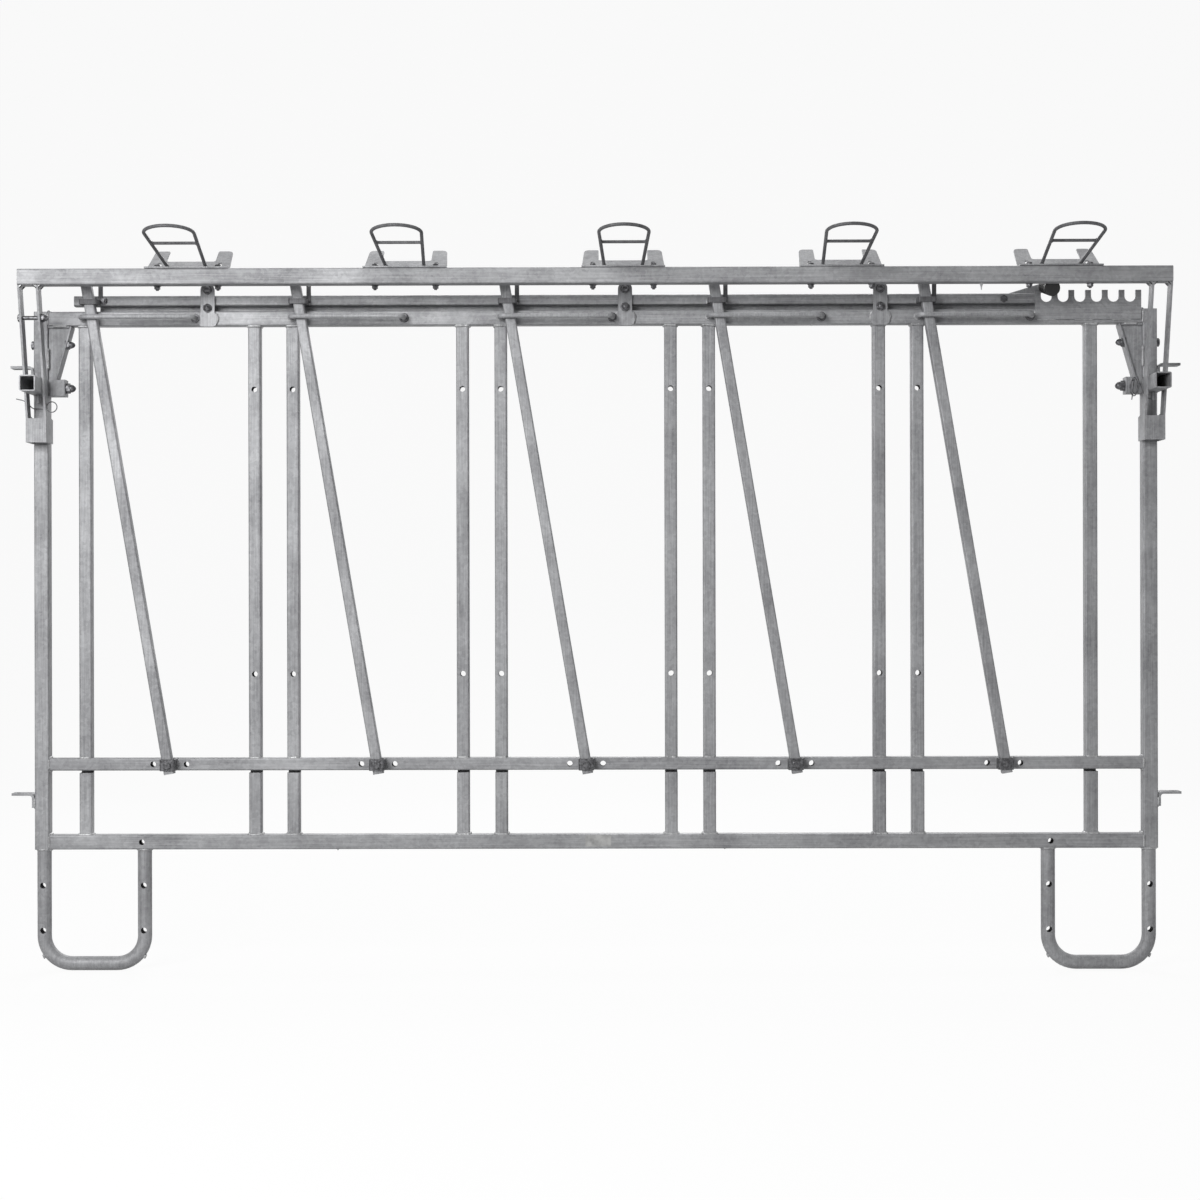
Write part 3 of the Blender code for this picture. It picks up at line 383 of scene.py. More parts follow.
def roundedLine(corners, bend, count=6):
    # straight runs joined by arcs of the bend radius, as points of a path
    corners = [np.asarray(c, float) for c in corners]
    path = [corners[0]]
    for a, b, c in zip(corners, corners[1:], corners[2:]):
        one, two = (a - b) / norm(a - b), (c - b) / norm(c - b)
        half = math.acos(np.clip(one @ two, -1, 1)) / 2
        back = bend / math.tan(half)
        middle = b + (one + two) / norm(one + two) * bend / math.sin(half)
        start, end = b + one * back - middle, b + two * back - middle
        total = math.acos(np.clip(start @ end / bend ** 2, -1, 1))
        for share in np.linspace(0, 1, count):
            path.append(middle + (math.sin((1 - share) * total) * start + math.sin(share * total) * end)
                        / math.sin(total))
    path.append(corners[-1])
    return np.array(path)


def denser(path, step):
    # the same path with points at most a step apart
    path = np.asarray(path, float)
    length = np.concatenate([[0.0], np.cumsum(norm(np.diff(path, axis=0), axis=1))])
    count = max(2, int(math.ceil(length[-1] / step)) + 1)
    places = np.linspace(0, length[-1], count)
    return np.stack([np.interp(places, length, path[:, i]) for i in range(3)], 1)


def smoothPath(points, step=0.0015):
    # Catmull-Rom curve: each span blends four neighbouring points with cubic weights
    points = np.asarray(points, float)
    padded = np.concatenate([[2 * points[0] - points[1]], points, [2 * points[-1] - points[-2]]])
    share = np.linspace(0, 1, 12, endpoint=False)[:, None]
    spans = [0.5 * (2 * b + (c - a) * share + (2 * a - 5 * b + 4 * c - d) * share ** 2
                    + (3 * b - a - 3 * c + d) * share ** 3)
             for a, b, c, d in zip(padded, padded[1:], padded[2:], padded[3:])]
    return denser(np.concatenate(spans + [points[-1:]]), step)


def ringPath(centre, radius, axis, count=48):
    first, second = acrossAxis(axis)[1:]
    angle = np.linspace(0, 2 * np.pi, count + 1)[:, None]
    return centre + radius * (np.cos(angle) * first + np.sin(angle) * second)


# Welds, nuts and bolts

bead = {"rippleMm": 2.6, "step": 0.0011,
        # radius of each kind of bead
        "tube": 0.0038, "broad": 0.0046, "combEnd": 0.0036, "rod": 0.0032, "plate": 0.0030, "round": 0.0028,
        "thin": 0.0026, "catch": 0.0024, "strap": 0.0022, "wire": 0.0016}


def weldBead(path, kind="tube", up=(0.13, 0.21, 0.97), closed=False):
    # rippled bead: its radius swells with each puddle of weld, wanders a little and tapers at both ends
    size = bead[kind]
    path = denser(path, bead["step"])
    count = len(path)
    along = np.arange(count) * bead["step"] * 1000
    ripple = 1 + 0.10 * np.abs(np.sin(np.pi * along / bead["rippleMm"] + noise.uniform(0, 3)))
    swells = max(3, count // 7 + 2)
    slow = np.interp(np.arange(count), np.linspace(0, count, swells), noise.uniform(0.86, 1.16, swells))
    ends = np.clip(np.minimum(np.arange(count) + 0.7, count - np.arange(count) - 0.3) / 3.0, 0.35, 1) ** 0.6
    wander = noise.normal(0, size * 0.05, path.shape)
    if closed:
        path, ripple, slow, ends, wander = path[:-1], ripple[:-1], slow[:-1], 1.0, wander[:-1]
    return carried(path + wander, size * (ripple * slow * ends), 8, up, closed)


beads = []


def weld(*settings):
    # adds a bead to the frame's welds
    beads.append(weldBead(*settings))


def washerRing(washer, where, axis):
    radius, thick = washer
    return roundTurn([(radius, -thick), (radius, -0.0002), (radius * 0.93, 0.0)], where, axis, 28)


def shank(where, axis, thick, long):
    return roundTurn([(thick / 2, 0.0), (thick / 2, long)], where, axis, 20)


def hexNut(where, axis, size, washer=None, thread=None):
    # hexagon with turned-off corners, from its width across flats, its height and the share turned off,
    # and if asked a washer under it and a thread's end above it
    acrossFlats, tall, chamfer = size
    flat = acrossFlats / 2
    profile = [(flat * 0.985, 0.0), (flat, 0.0), (flat, tall * (1 - chamfer)), (flat * 0.90, tall)]
    surfaces = [roundTurn(profile, where, axis, 36, (1, 2))]
    if washer:
        surfaces.append(washerRing(washer, where, axis))
    if thread:
        bolt, end, pitch = thread[0], tall + thread[1], 0.0015
        rows = 2 * max(2, int(thread[1] / pitch)) + 1
        profile = [(bolt / 2 * (1.0 if i % 2 else 0.90), height)
                   for i, height in enumerate(np.linspace(tall, end, rows))]
        surfaces.append(roundTurn(profile + [(bolt * 0.36, end + 0.0006)], where, axis, 20))
    return surfaces


def domeNut(where, axis, size, washer):
    # hexagon foot under a closed dome, on a washer
    acrossFlats, tall = size
    flat = acrossFlats / 2
    foot = tall * 0.42
    profile = [(flat, 0.0), (flat, foot * 0.9), (flat * 0.93, foot)]
    profile += [(flat * 0.90 * math.cos(a), foot + (tall - foot) * math.sin(a))
                for a in np.radians([0, 15, 30, 45, 60, 75, 86])]
    return [roundTurn(profile, where, axis, 36, (0, 1)), washerRing(washer, where, axis)]


# Frame

def lowHigh(node):
    low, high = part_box(node)
    return np.array(low), np.array(high)


sides = ((-1, "left"), (1, "right"))
lugs = [f"lug_{side}_{end}" for _, side in sides for end in ("lower", "upper")]
levelSteel = ["bottom_rail", "main_rail", "lower_rail", "top_beam", "comb_plate", "slider"] + lugs
uprightSteel = [f"{part}_{side}" for part in ("end_post", "stub", "arm", "clip_pin") for _, side in sides]
uprightSteel += [f"post_{n}" for n in range(1, 11)] + [f"yoke_{n}" for n in range(1, 6)]
dressed = {node: dressNode(node, railZinc) for node in levelSteel}
for node in uprightSteel:
    dressNode(node, zinc)
print("tubes and plates dressed")

rail = lowHigh("main_rail")
foot = lowHigh("bottom_rail")
lower = lowHigh("lower_rail")
frontY, rearY = rail[0][1], rail[1][1]
stop = {"past": 0.001, "inset": 0.002, "short": 0.003, "behind": 0.006}     # where beads end, from an edge
for number in range(1, 11):
    low, high = lowHigh(f"post_{number}")
    x0, x1, y0, y1 = low[0], high[0], low[1], high[1] - stop["short"]
    for z in (rail[0][2], foot[1][2]):
        weld([(x0 - stop["past"], y0, z), (x1 + stop["past"], y0, z)])
        weld([(x0, y0, z), (x0, y1, z)])
        weld([(x1, y0, z), (x1, y1, z)])
    weld([(x0 + stop["inset"], y0, lower[1][2]), (x1 - stop["inset"], y0, lower[1][2])], "broad")
    for x in (x0, x1):      # short runs behind the lower rail
        ends = (lower[0][2] + stop["behind"], lower[1][2] - stop["behind"])
        weld([(x, lower[1][1], z) for z in ends], "thin")
for side, name in sides:
    post = lowHigh(f"end_post_{name}")
    x = post[1][0] if side < 0 else post[0][0]
    for low, high in (rail, foot, lower):
        front, back = low[1] + stop["short"], high[1] - stop["short"]
        weld([(x, front, high[2]), (x, back, high[2])])
        weld([(x, front, low[2]), (x, back, low[2])])
        weld([(x, low[1], low[2] + stop["short"]), (x, low[1], high[2] - stop["short"])], "thin")
print("frame welded")

# Foot hoops

hoop = {"tube": 0.0337, "wall": 0.0028, "bend": 0.067, "hole": 0.0145, "holes": (-0.104, -0.212),
        "drill": 0.03, "drip": [(0.0052, -0.004), (0.0042, 0.0), (0.0026, 0.003), (0.0012, 0.0055)]}


def cutHoles(thing, cutters):
    # drills a piece with solid cutters, then keeps the drilled mesh
    cutter = placed("cutter", joinedMesh("cutter", cutters))
    drill = thing.modifiers.new("drill", "BOOLEAN")
    drill.solver = "EXACT"
    drill.use_self = True
    drill.object = cutter
    thing.modifiers.move(len(thing.modifiers) - 1, 0)
    bpy.context.view_layer.update()
    graph = bpy.context.evaluated_depsgraph_get()
    made = bpy.data.meshes.new_from_object(thing.evaluated_get(graph))
    thing.modifiers.clear()
    thing.data = made
    smoothed(thing)
    bpy.data.objects.remove(cutter)


for name in ("foot_hoop_left", "foot_hoop_right"):
    low, high = lowHigh(name)
    radius = hoop["tube"] / 2
    y = (low[1] + high[1]) / 2
    left, right, bottom, top = low[0] + radius, high[0] - radius, low[2] + radius, high[2]
    corners = [(left, y, top), (left, y, bottom), (right, y, bottom), (right, y, top)]
    path = roundedLine(corners, hoop["bend"], 14)
    drill = [(hoop["hole"] / 2, -hoop["drill"]), (hoop["hole"] / 2, hoop["drill"])]
    cutters = [carried(path, radius - hoop["wall"], 24, (0, 1, 0))]
    cutters += [roundTurn(drill, (x, y, z), (0, 1, 0), 28) for x in (left, right) for z in hoop["holes"]]
    cutHoles(piece(name + "_tube", [carried(path, radius, 32, (0, 1, 0))], zinc, replaced=[name]), cutters)
    for x in (left, right):
        weld(ringPath((x, y, top), radius, (0, 0, 1)), "round", (0.3, 0.2, 0.9), True)
    under = bottom + hoop["bend"] - math.sqrt((hoop["bend"] + radius) ** 2 - hoop["bend"] ** 2)
    for x in (left, right):     # zinc drips where each bend turns under
        beads.append(roundTurn(hoop["drip"], (x, y - radius * 0.2, under), (0, 0, -1), 12))
print("feet ready")

# Welds of lugs, stubs, comb, rear guide and gussets

lugTop = 0.013
for name in lugs:
    low, high = lowHigh(name)
    x = high[0] if "left" in name else low[0]
    for y in (low[1], high[1]):
        weld([(x, y, low[2] + stop["past"]), (x, y, high[2] - lugTop)], "thin")
    weld([(x, low[1] + stop["short"], low[2]), (x, high[1] - stop["short"], low[2])], "thin")
stubWeld = {"half": 0.0165, "above": 0.019, "proud": 0.0005}
for name in ("stub_left", "stub_right"):
    low, high = lowHigh(name)
    half, y = stubWeld["half"], frontY - stubWeld["proud"]
    x, _, z = (low + high) / 2
    for dz in (-stubWeld["above"], stubWeld["above"]):
        weld([(x - half, y, z + dz), (x + half, y, z + dz)], "round")
combWeld = {"starts": (0.006, 0.095, 0.185), "long": 0.045}
comb = lowHigh("comb_plate")
combX, combZ = comb[0][0], comb[0][2]
for start in combWeld["starts"]:
    weld([(combX + start, frontY, combZ), (combX + start + combWeld["long"], frontY, combZ)], "round")
weld([(combX, frontY, combZ + stop["past"]), (combX, frontY, rail[1][2] - stop["inset"])], "combEnd")
rearGuide = {"longer": 0.028, "from": 0.03, "to": 0.94, "welds": 12, "weldLong": 0.03}
low, high = lowHigh("rear_guide")
flatLong, flatTall = high[0] - low[0] + rearGuide["longer"], high[2] - low[2]
flat = slab([(0, 0), (flatLong, 0), (flatLong, flatTall), (0, flatTall)], high[1] - low[1], upright,
            (low[0], (low[1] + high[1]) / 2, low[2]))
piece("rear_guide_flat", [flat], railZinc, replaced=["rear_guide"])
for share in np.linspace(rearGuide["from"], rearGuide["to"], rearGuide["welds"]):
    x = low[0] + (high[0] - low[0]) * share
    weld([(x, rearY, low[2]), (x + rearGuide["weldLong"], rearY, low[2])], "thin")
gussetWeld = {"up": (0.065, 0.115), "across": (0.012, 0.045)}
for side, name in sides:
    low, high = lowHigh(f"gusset_{name}")
    x = low[0] if side < 0 else high[0]
    weld([(x, frontY, low[2] + up) for up in gussetWeld["up"]], "plate")
    weld([(x - side * across, frontY, high[2]) for across in gussetWeld["across"]], "plate")
print("brackets welded")

# Slider guides

guide = {"half": 0.017, "shield": 0.023, "plate": 0.005, "gap": 0.0003, "corner": 0.012, "neck": 0.006,
         "neckDrop": 0.010, "shoulder": 0.004, "bolt": 0.010, "lift": 0.0065, "nut": (0.0185, 0.0125),
         "washer": (0.0108, 0.0014), "weldProud": 0.001}
for number in range(1, 4):
    name = f"slider_guide_{number}"
    low, high = lowHigh(name)
    x, topZ, tip = (low[0] + high[0]) / 2, high[2] - guide["half"], low[2]
    h, w, r, n = guide["half"], guide["shield"], guide["corner"], guide["neck"]
    shoulder = rail[1][2] - guide["shoulder"]
    neckZ = shoulder - guide["neckDrop"]
    outline = np.concatenate([arcPoints((0, topZ), h, 0, 180, 18), [(-h, shoulder)],
                              arcPoints((-w + n, neckZ), n, 120, 180, 4),
                              arcPoints((-w + r, tip + r), r, 180, 270, 7),
                              arcPoints((w - r, tip + r), r, 270, 360, 7),
                              arcPoints((w - n, neckZ), n, 0, 60, 4), [(h, shoulder)]])
    plateY = frontY - guide["gap"] - guide["plate"] / 2
    plate = slab(outline, guide["plate"], upright, (x, plateY, 0))
    piece(name + "_plate", [plate], zinc, replaced=[name])
    nuts = []
    nutY = plateY - guide["plate"] / 2 - guide["washer"][1]
    for z in (rail[1][2] + guide["lift"], topZ):
        nuts += domeNut((x, nutY, z), (0, -1, 0), guide["nut"], guide["washer"])
        nuts.append(shank((x, plateY, z), (0, 1, 0), guide["bolt"], high[1] - plateY))
    piece(name + "_bolts", nuts, plated, "frame")
    edge = ((h + 0.0015, shoulder - 0.001), (w + 0.0010, shoulder - 0.011), (w - 0.0005, tip + 0.010))
    for sign in (-1, 1):
        weld([(x + sign * out, frontY - guide["weldProud"], z) for out, z in edge], "plate")
print("slider guides ready")

# Guide rods

guideRod = {"bar": 0.012, "bend": 0.014, "nut": (0.019, 0.0075, 0.2), "washer": (0.0115, 0.0016),
            "gap": 0.0018}
for number in range(1, 6):
    name = f"guide_rod_{number}"
    low, high = lowHigh(name)
    radius = guideRod["bar"] / 2
    z = (low[2] + high[2]) / 2
    left, right, front, back = low[0] + radius, high[0] - radius, low[1] + radius, high[1]
    path = roundedLine([(left, back, z), (left, front, z), (right, front, z), (right, back, z)],
                       guideRod["bend"], 10)
    piece(name + "_bar", [carried(path, radius, 20)], zinc, replaced=[name])
    weld(ringPath((left, frontY, z), radius, (0, 1, 0), 20), "rod", (0, 1, 0.2), True)
    collar = hexNut((right, frontY - guideRod["gap"], z), (0, -1, 0), guideRod["nut"], guideRod["washer"])
    piece(name + "_nut", collar, plated, "frame")
print("guide rods bent")

# Yoke feet

bracket = {"inside": 0.0318, "thick": 0.0025, "tall": 0.028, "bend": 0.004, "edge": 0.0006,
           "yokeHalf": 0.0125, "play": 0.001, "bolt": 0.010, "boltLong": 0.062,
           "head": (0.0170, 0.0058, 0.2), "headGap": 0.0012, "washer": (0.0098, 0.0011), "spacer": 0.009,
           "spacerLong": 0.0048, "spacerGap": 0.0003, "rearGap": 0.0004, "rearLap": 0.0006,
           "rearChamfer": 0.15}
pivots = [joint["pos_m"] for joint in frame["joints"] if joint["name"].startswith("yoke_swing")]
for number, (x, y, z) in enumerate(pivots, 1):
    low, high = lowHigh(f"yoke_bolt_{number}")
    half, tall, edge = bracket["thick"] / 2, bracket["tall"] / 2, bracket["edge"]
    band = y - bracket["yokeHalf"] - bracket["play"] - half
    reach = bracket["inside"] / 2 + half
    # strap: a chamfered flat carried round the yoke
    turns = [(x - reach, frontY, z), (x - reach, band, z), (x + reach, band, z), (x + reach, frontY, z)]
    path = roundedLine(turns, bracket["bend"], 6)
    side = alongPath(path)[0]
    corners = [(-half, -tall + edge), (-half + edge, -tall), (half - edge, -tall), (half, -tall + edge),
               (half, tall - edge), (half - edge, tall), (-half + edge, tall), (-half, tall - edge)]
    points = np.stack([path + side * a + (0, 0, b) for a, b in corners], 1).reshape(-1, 3)
    surfaces = [(points, turned(solidFaces(len(path), len(corners))))]
    headFace = band - half
    surfaces += hexNut((x, headFace - bracket["headGap"], z), (0, -1, 0), bracket["head"], bracket["washer"])
    surfaces.append(shank((x, headFace, z), (0, 1, 0), bracket["bolt"], bracket["boltLong"]))
    wide, long = bracket["spacer"], bracket["spacerLong"]
    profile = [(wide - 0.0002, 0.0), (wide, 0.0002), (wide, long - 0.0002), (wide - 0.0002, long)]
    surfaces.append(roundTurn(profile, (x, frontY - long - bracket["spacerGap"], z), (0, 1, 0), 28))
    rearNut = (bracket["head"][0], high[1] - lower[1][1] - bracket["rearLap"], bracket["rearChamfer"])
    surfaces += hexNut((x, lower[1][1] + bracket["rearGap"], z), (0, 1, 0), rearNut)
    piece(f"yoke_{number}_pivot", surfaces, plated, "frame", replaced=[f"yoke_bolt_{number}"])
    for dx in (-reach, reach):
        weld([(x + dx, frontY, z - tall), (x + dx, frontY, z + tall)], "strap")
print("yokes hung")

# Lever

grip = {"rod": 0.018, "outer": 0.038, "long": 0.056, "start": 0.0044, "end": 0.004, "slope": 15.0,
        "straight": 0.008, "flat": 0.005, "tall": 0.022, "arm": 0.100, "bend": 0.010, "lap": 0.002,
        "play": 0.0004, "lip": 0.003, "ridges": 7, "ridge": 0.0022, "groove": 0.0011, "pin": 0.010,
        "pinHead": (0.0165, 0.0034, 0.2), "headIn": 0.0035}
lift = next(joint for joint in frame["joints"] if joint["name"] == "lever_lift")
liftAngle = -math.radians(lift["range_deg"][0])
pin = np.array(lift["pos_m"])


def lifted(surface):
    # turns points about the lever's pin from the locked place to the stored, lifted one
    points, faces = surface
    c, s = math.cos(liftAngle), math.sin(liftAngle)
    rel = points - pin
    spun = np.stack([rel[:, 0] * c - rel[:, 2] * s, rel[:, 1], rel[:, 0] * s + rel[:, 2] * c], 1)
    return spun + pin, faces


flatBack = lowHigh("lever")[1][1]
flatFront = flatBack - grip["flat"]
half = grip["tall"] / 2
outline = np.concatenate([arcPoints((0, 0), half, 90, 270, 16),
                          arcPoints((grip["arm"], 0), half, -90, 90, 16)])
flat = slab(outline, grip["flat"], upright, (pin[0], (flatFront + flatBack) / 2, pin[2]))
elbow = np.array([pin[0] + grip["arm"], comb[0][1] - grip["straight"], pin[2]])
slope = math.radians(grip["slope"])
run = np.array([0, -math.cos(slope), -math.sin(slope)])
rodRadius = grip["rod"] / 2
bar = carried(roundedLine([(elbow[0], flatFront + grip["lap"], elbow[2]), elbow,
                           elbow + run * (grip["start"] + grip["long"])], grip["bend"], 8), rodRadius, 28)
rodFoot = (elbow[0], flatFront, elbow[2])
ring = weldBead(ringPath(rodFoot, rodRadius, (0, 1, 0), 30), "strap", (0, 1, 0.2), True)
piece("lever_bar", [lifted(flat), lifted(bar), lifted(ring)], zinc, "lever", replaced=["lever"])
outer, end, ridge = grip["outer"] / 2, grip["end"], grip["ridge"]
full = grip["long"] + 0.0003 + end
bore, groove = rodRadius + grip["play"], outer - grip["groove"]
profile = [(bore, 0.004), (bore, 0.0), (outer - grip["lip"], 0.0), (outer - 0.0009, 0.0009),
           (outer, grip["lip"])]
for place in np.linspace(0.010, full - 0.012, grip["ridges"]):
    profile += [(outer, place - ridge), (groove, place - 0.0008), (groove, place + 0.0008),
                (outer, place + ridge)]
profile += [(outer - end * (1 - math.cos(a)), full - end * (1 - math.sin(a)))
            for a in np.radians([0, 22, 45, 67, 90])]
profile += [(outer * 0.4, full)]
rubberTurn = roundTurn(profile, elbow + run * grip["start"], run, 40)
piece("lever_grip", [lifted(rubberTurn)], rubber, "lever", 50, ["grip"])
low, high = lowHigh("lever_pin")
head = (pin[0], low[1] + grip["headIn"], pin[2])
surfaces = hexNut(head, (0, -1, 0), grip["pinHead"])
surfaces.append(shank(head, (0, 1, 0), grip["pin"], high[1] - low[1] - grip["headIn"]))
piece("lever_pivot", surfaces, plated, "slider", replaced=["lever_pin"])
print("lever ready")

# Slider: welds and fingers of its catches, and the bolt near its left end

catch = {"inside": 0.034, "thick": 0.005, "tall": 0.012, "finger": 0.045, "flat": 0.0105, "cut": 0.004,
         "leanDeg": 9.55, "tube": 0.025, "gap": 0.0003, "proud": 0.0016, "front": 0.0004,
         "strapRun": (0.001, 0.014), "fingerRun": (0.013, 0.024), "boltLeft": 0.156, "boltGap": 0.0014,
         "boltHead": (0.013, 0.0065, 0.2), "washer": (0.009, 0.0013), "thread": (0.008, 0.003)}
low, high = lowHigh("slider")
tubeBottom, sliderFront = low[2], high[1] - catch["tube"]
sliderBeads, fingers = [], []
for x, y, z in pivots:
    middle = x - math.tan(math.radians(catch["leanDeg"])) * (tubeBottom + catch["tall"] / 2 - z)
    outer = catch["inside"] / 2 + catch["thick"]
    # a bead on each side of the strap, then one up the finger
    for dx, kind, run in ((-outer, "catch", catch["strapRun"]), (outer, "catch", catch["strapRun"]),
                          (outer, "strap", catch["fingerRun"])):
        sliderBeads.append(weldBead([(middle + dx, sliderFront, tubeBottom + up) for up in run], kind))
    w, t, cut = catch["flat"], catch["finger"], catch["cut"]
    fingers.append(slab([(0, 0), (w, 0), (w, t - cut), (w - cut, t), (0, t)], catch["thick"], upright,
                        (middle + catch["inside"] / 2 - catch["gap"], sliderFront - catch["proud"],
                         tubeBottom + catch["tall"] / 2)))
# the catches' beads take the lighter weld zinc, a painted highlight
piece("slider_welds", sliderBeads, paintedHighlightWeldZinc, "slider")
# the fingers take the darker zinc, painted shade under the beam
piece("catch_fingers", fingers, paintedShadeZinc, "slider")
# the catches' faces in front of the tube take the darker zinc, painted shade under the beam
body = dressed["slider"].data
body.materials.append(paintedShadeZinc)
centres = np.empty(3 * len(body.polygons))
body.polygons.foreach_get("center", centres)
body.polygons.foreach_set("material_index", (centres[1::3] < sliderFront - catch["front"]).astype(np.int32))
place = (pivots[0][0] - catch["boltLeft"], sliderFront - catch["boltGap"], tubeBottom + catch["tube"] / 2)
surfaces = hexNut(place, (0, -1, 0), catch["boltHead"], catch["washer"], catch["thread"])
piece("catch_1_bolt", surfaces, plated, "slider")
print("slider welded")

# Wire holders

holder = {"sheet": 0.004, "long": 0.196, "gap": 0.0003, "earWide": 0.040, "earBack": 0.083, "earUp": 0.054,
          "bridge": 0.40, "corner": 0.012, "inner": 0.004, "fold": 0.006, "taper": 0.005,
          "wire": 0.008, "feet": 0.089, "shoulders": 0.113, "leg": 0.206, "nose": 0.045, "tilt": 12.3,
          "barShare": 0.72, "boltSpread": 0.0715, "boltBack": 0.008, "eye": 0.012, "eyeUp": 0.020,
          "eyeLong": 2.0, "drill": 0.02, "head": (0.013, 0.0056, 0.2), "nut": (0.013, 0.0068, 0.15),
          "thread": (0.0078, 0.0025), "washer": (0.0085, 0.0015), "nutGap": 0.0016}
beamLow, beamHigh = lowHigh("top_beam")
beamMid = (beamLow[1] + beamHigh[1]) / 2
for number in range(1, 6):
    name = f"holder_{number}"
    low, high = lowHigh(name)
    x = (low[0] + high[0]) / 2
    sheet = holder["sheet"]
    top = beamHigh[2] + holder["gap"]
    sheetTop = top + sheet
    # folded sheet: a base on the beam, and two ears on a bridge that lean back from its rear edge
    half = holder["long"] / 2
    inside = half - holder["earWide"]
    earLong = math.hypot(holder["earBack"], holder["earUp"])
    earLean = math.atan2(holder["earUp"], holder["earBack"])
    bridge = earLong * holder["bridge"]
    r, inner, fold, taper = holder["corner"], holder["inner"], holder["fold"], holder["taper"]
    outline = np.concatenate([
        [(-half, 0.0), (half, 0.0)], arcPoints((half - taper - r, earLong - r), r, 0, 90),
        arcPoints((inside + inner, earLong - inner), inner, 90, 180, 4),
        arcPoints((inside - fold, bridge + fold), fold, 0, -90, 6),
        arcPoints((-inside + fold, bridge + fold), fold, -90, -180, 6),
        arcPoints((-inside - inner, earLong - inner), inner, 0, 90, 4),
        arcPoints((-half + taper + r, earLong - r), r, 90, 180)])
    up = np.array((0, math.cos(earLean), math.sin(earLean)))
    out = np.array((0, -math.sin(earLean), math.cos(earLean)))
    foldY, foldZ = beamHigh[1] - sheet, top + sheet / 2
    ears = slab(outline, sheet, ((1, 0, 0), up, out), (x, foldY, foldZ))
    front, rear = beamLow[1] + 0.001, beamHigh[1]
    corners = [(-half, front), (half, front), (half, rear), (-half, rear)]
    base = slab(corners, sheet, np.eye(3), (x, 0, foldZ))
    # legs rise straight to the shoulders, then half an ellipse makes the nose: all in one tilted plane
    angle = np.pi * np.linspace(0, 1, 33)
    feet, shoulders, share = holder["feet"] / 2, holder["shoulders"] / 2, holder["barShare"]
    across = np.concatenate([[-feet], -shoulders * np.cos(angle), [feet]])
    ahead = np.concatenate([[0.0], holder["leg"] + holder["nose"] * np.sin(angle), [0.0]])
    tilt = math.tan(math.radians(holder["tilt"]))
    footZ = top + holder["wire"] / 2
    loopPath = np.stack([x + across, beamMid - ahead, footZ + ahead * tilt], 1)
    loop = carried(denser(loopPath, 0.004), holder["wire"] / 2, 16, (1, 0.02, 0.3))
    barHalf = feet + (shoulders - feet) * share
    barY, barZ = beamMid - holder["leg"] * share, footZ + holder["leg"] * share * tilt
    bar = carried([(x - barHalf, barY, barZ), (x + barHalf, barY, barZ)], holder["wire"] * 0.45, 14)
    wires, slots, bolts = [loop, bar], [], []
    for sign in (-1, 1):
        wires.append(weldBead([(x + sign * feet, beamMid - 0.012, sheetTop),
                               (x + sign * feet, beamMid + 0.004, sheetTop)], "broad"))
        wires.append(weldBead(ringPath((x + sign * (barHalf - 0.003), barY, barZ), 0.0036, (1, 0, 0), 16),
                              "wire", (1, 0, 0.2), True))
        # slots: round cutters stretched along the ear
        boltX, boltY = x + sign * holder["boltSpread"], beamMid + holder["boltBack"]
        eye = np.array([boltX, foldY, foldZ]) + up * holder["eyeUp"]
        drill = [(holder["eye"] / 2, -holder["drill"]), (holder["eye"] / 2, holder["drill"])]
        points, faces = roundTurn(drill, eye, out, 24)
        slots.append((points + ((points - eye) @ up)[:, None] * up * (holder["eyeLong"] - 1), faces))
        bolts += hexNut((boltX, boltY, sheetTop + holder["nutGap"]), (0, 0, 1), holder["head"],
                        holder["washer"])
        bolts += hexNut((boltX, boltY, beamLow[2] - holder["nutGap"]), (0, 0, -1), holder["nut"],
                        holder["washer"], holder["thread"])
    cutHoles(piece(name + "_plate", [ears], zinc), slots)
    piece(name + "_base", [base], zinc, replaced=[name])
    # the wires take the darker zinc that paints shade on the catches
    piece(name + "_loop", wires, paintedShadeZinc)
    piece(name + "_bolts", bolts, plated, "frame")
print("holders ready")

# Arms, gussets and clips

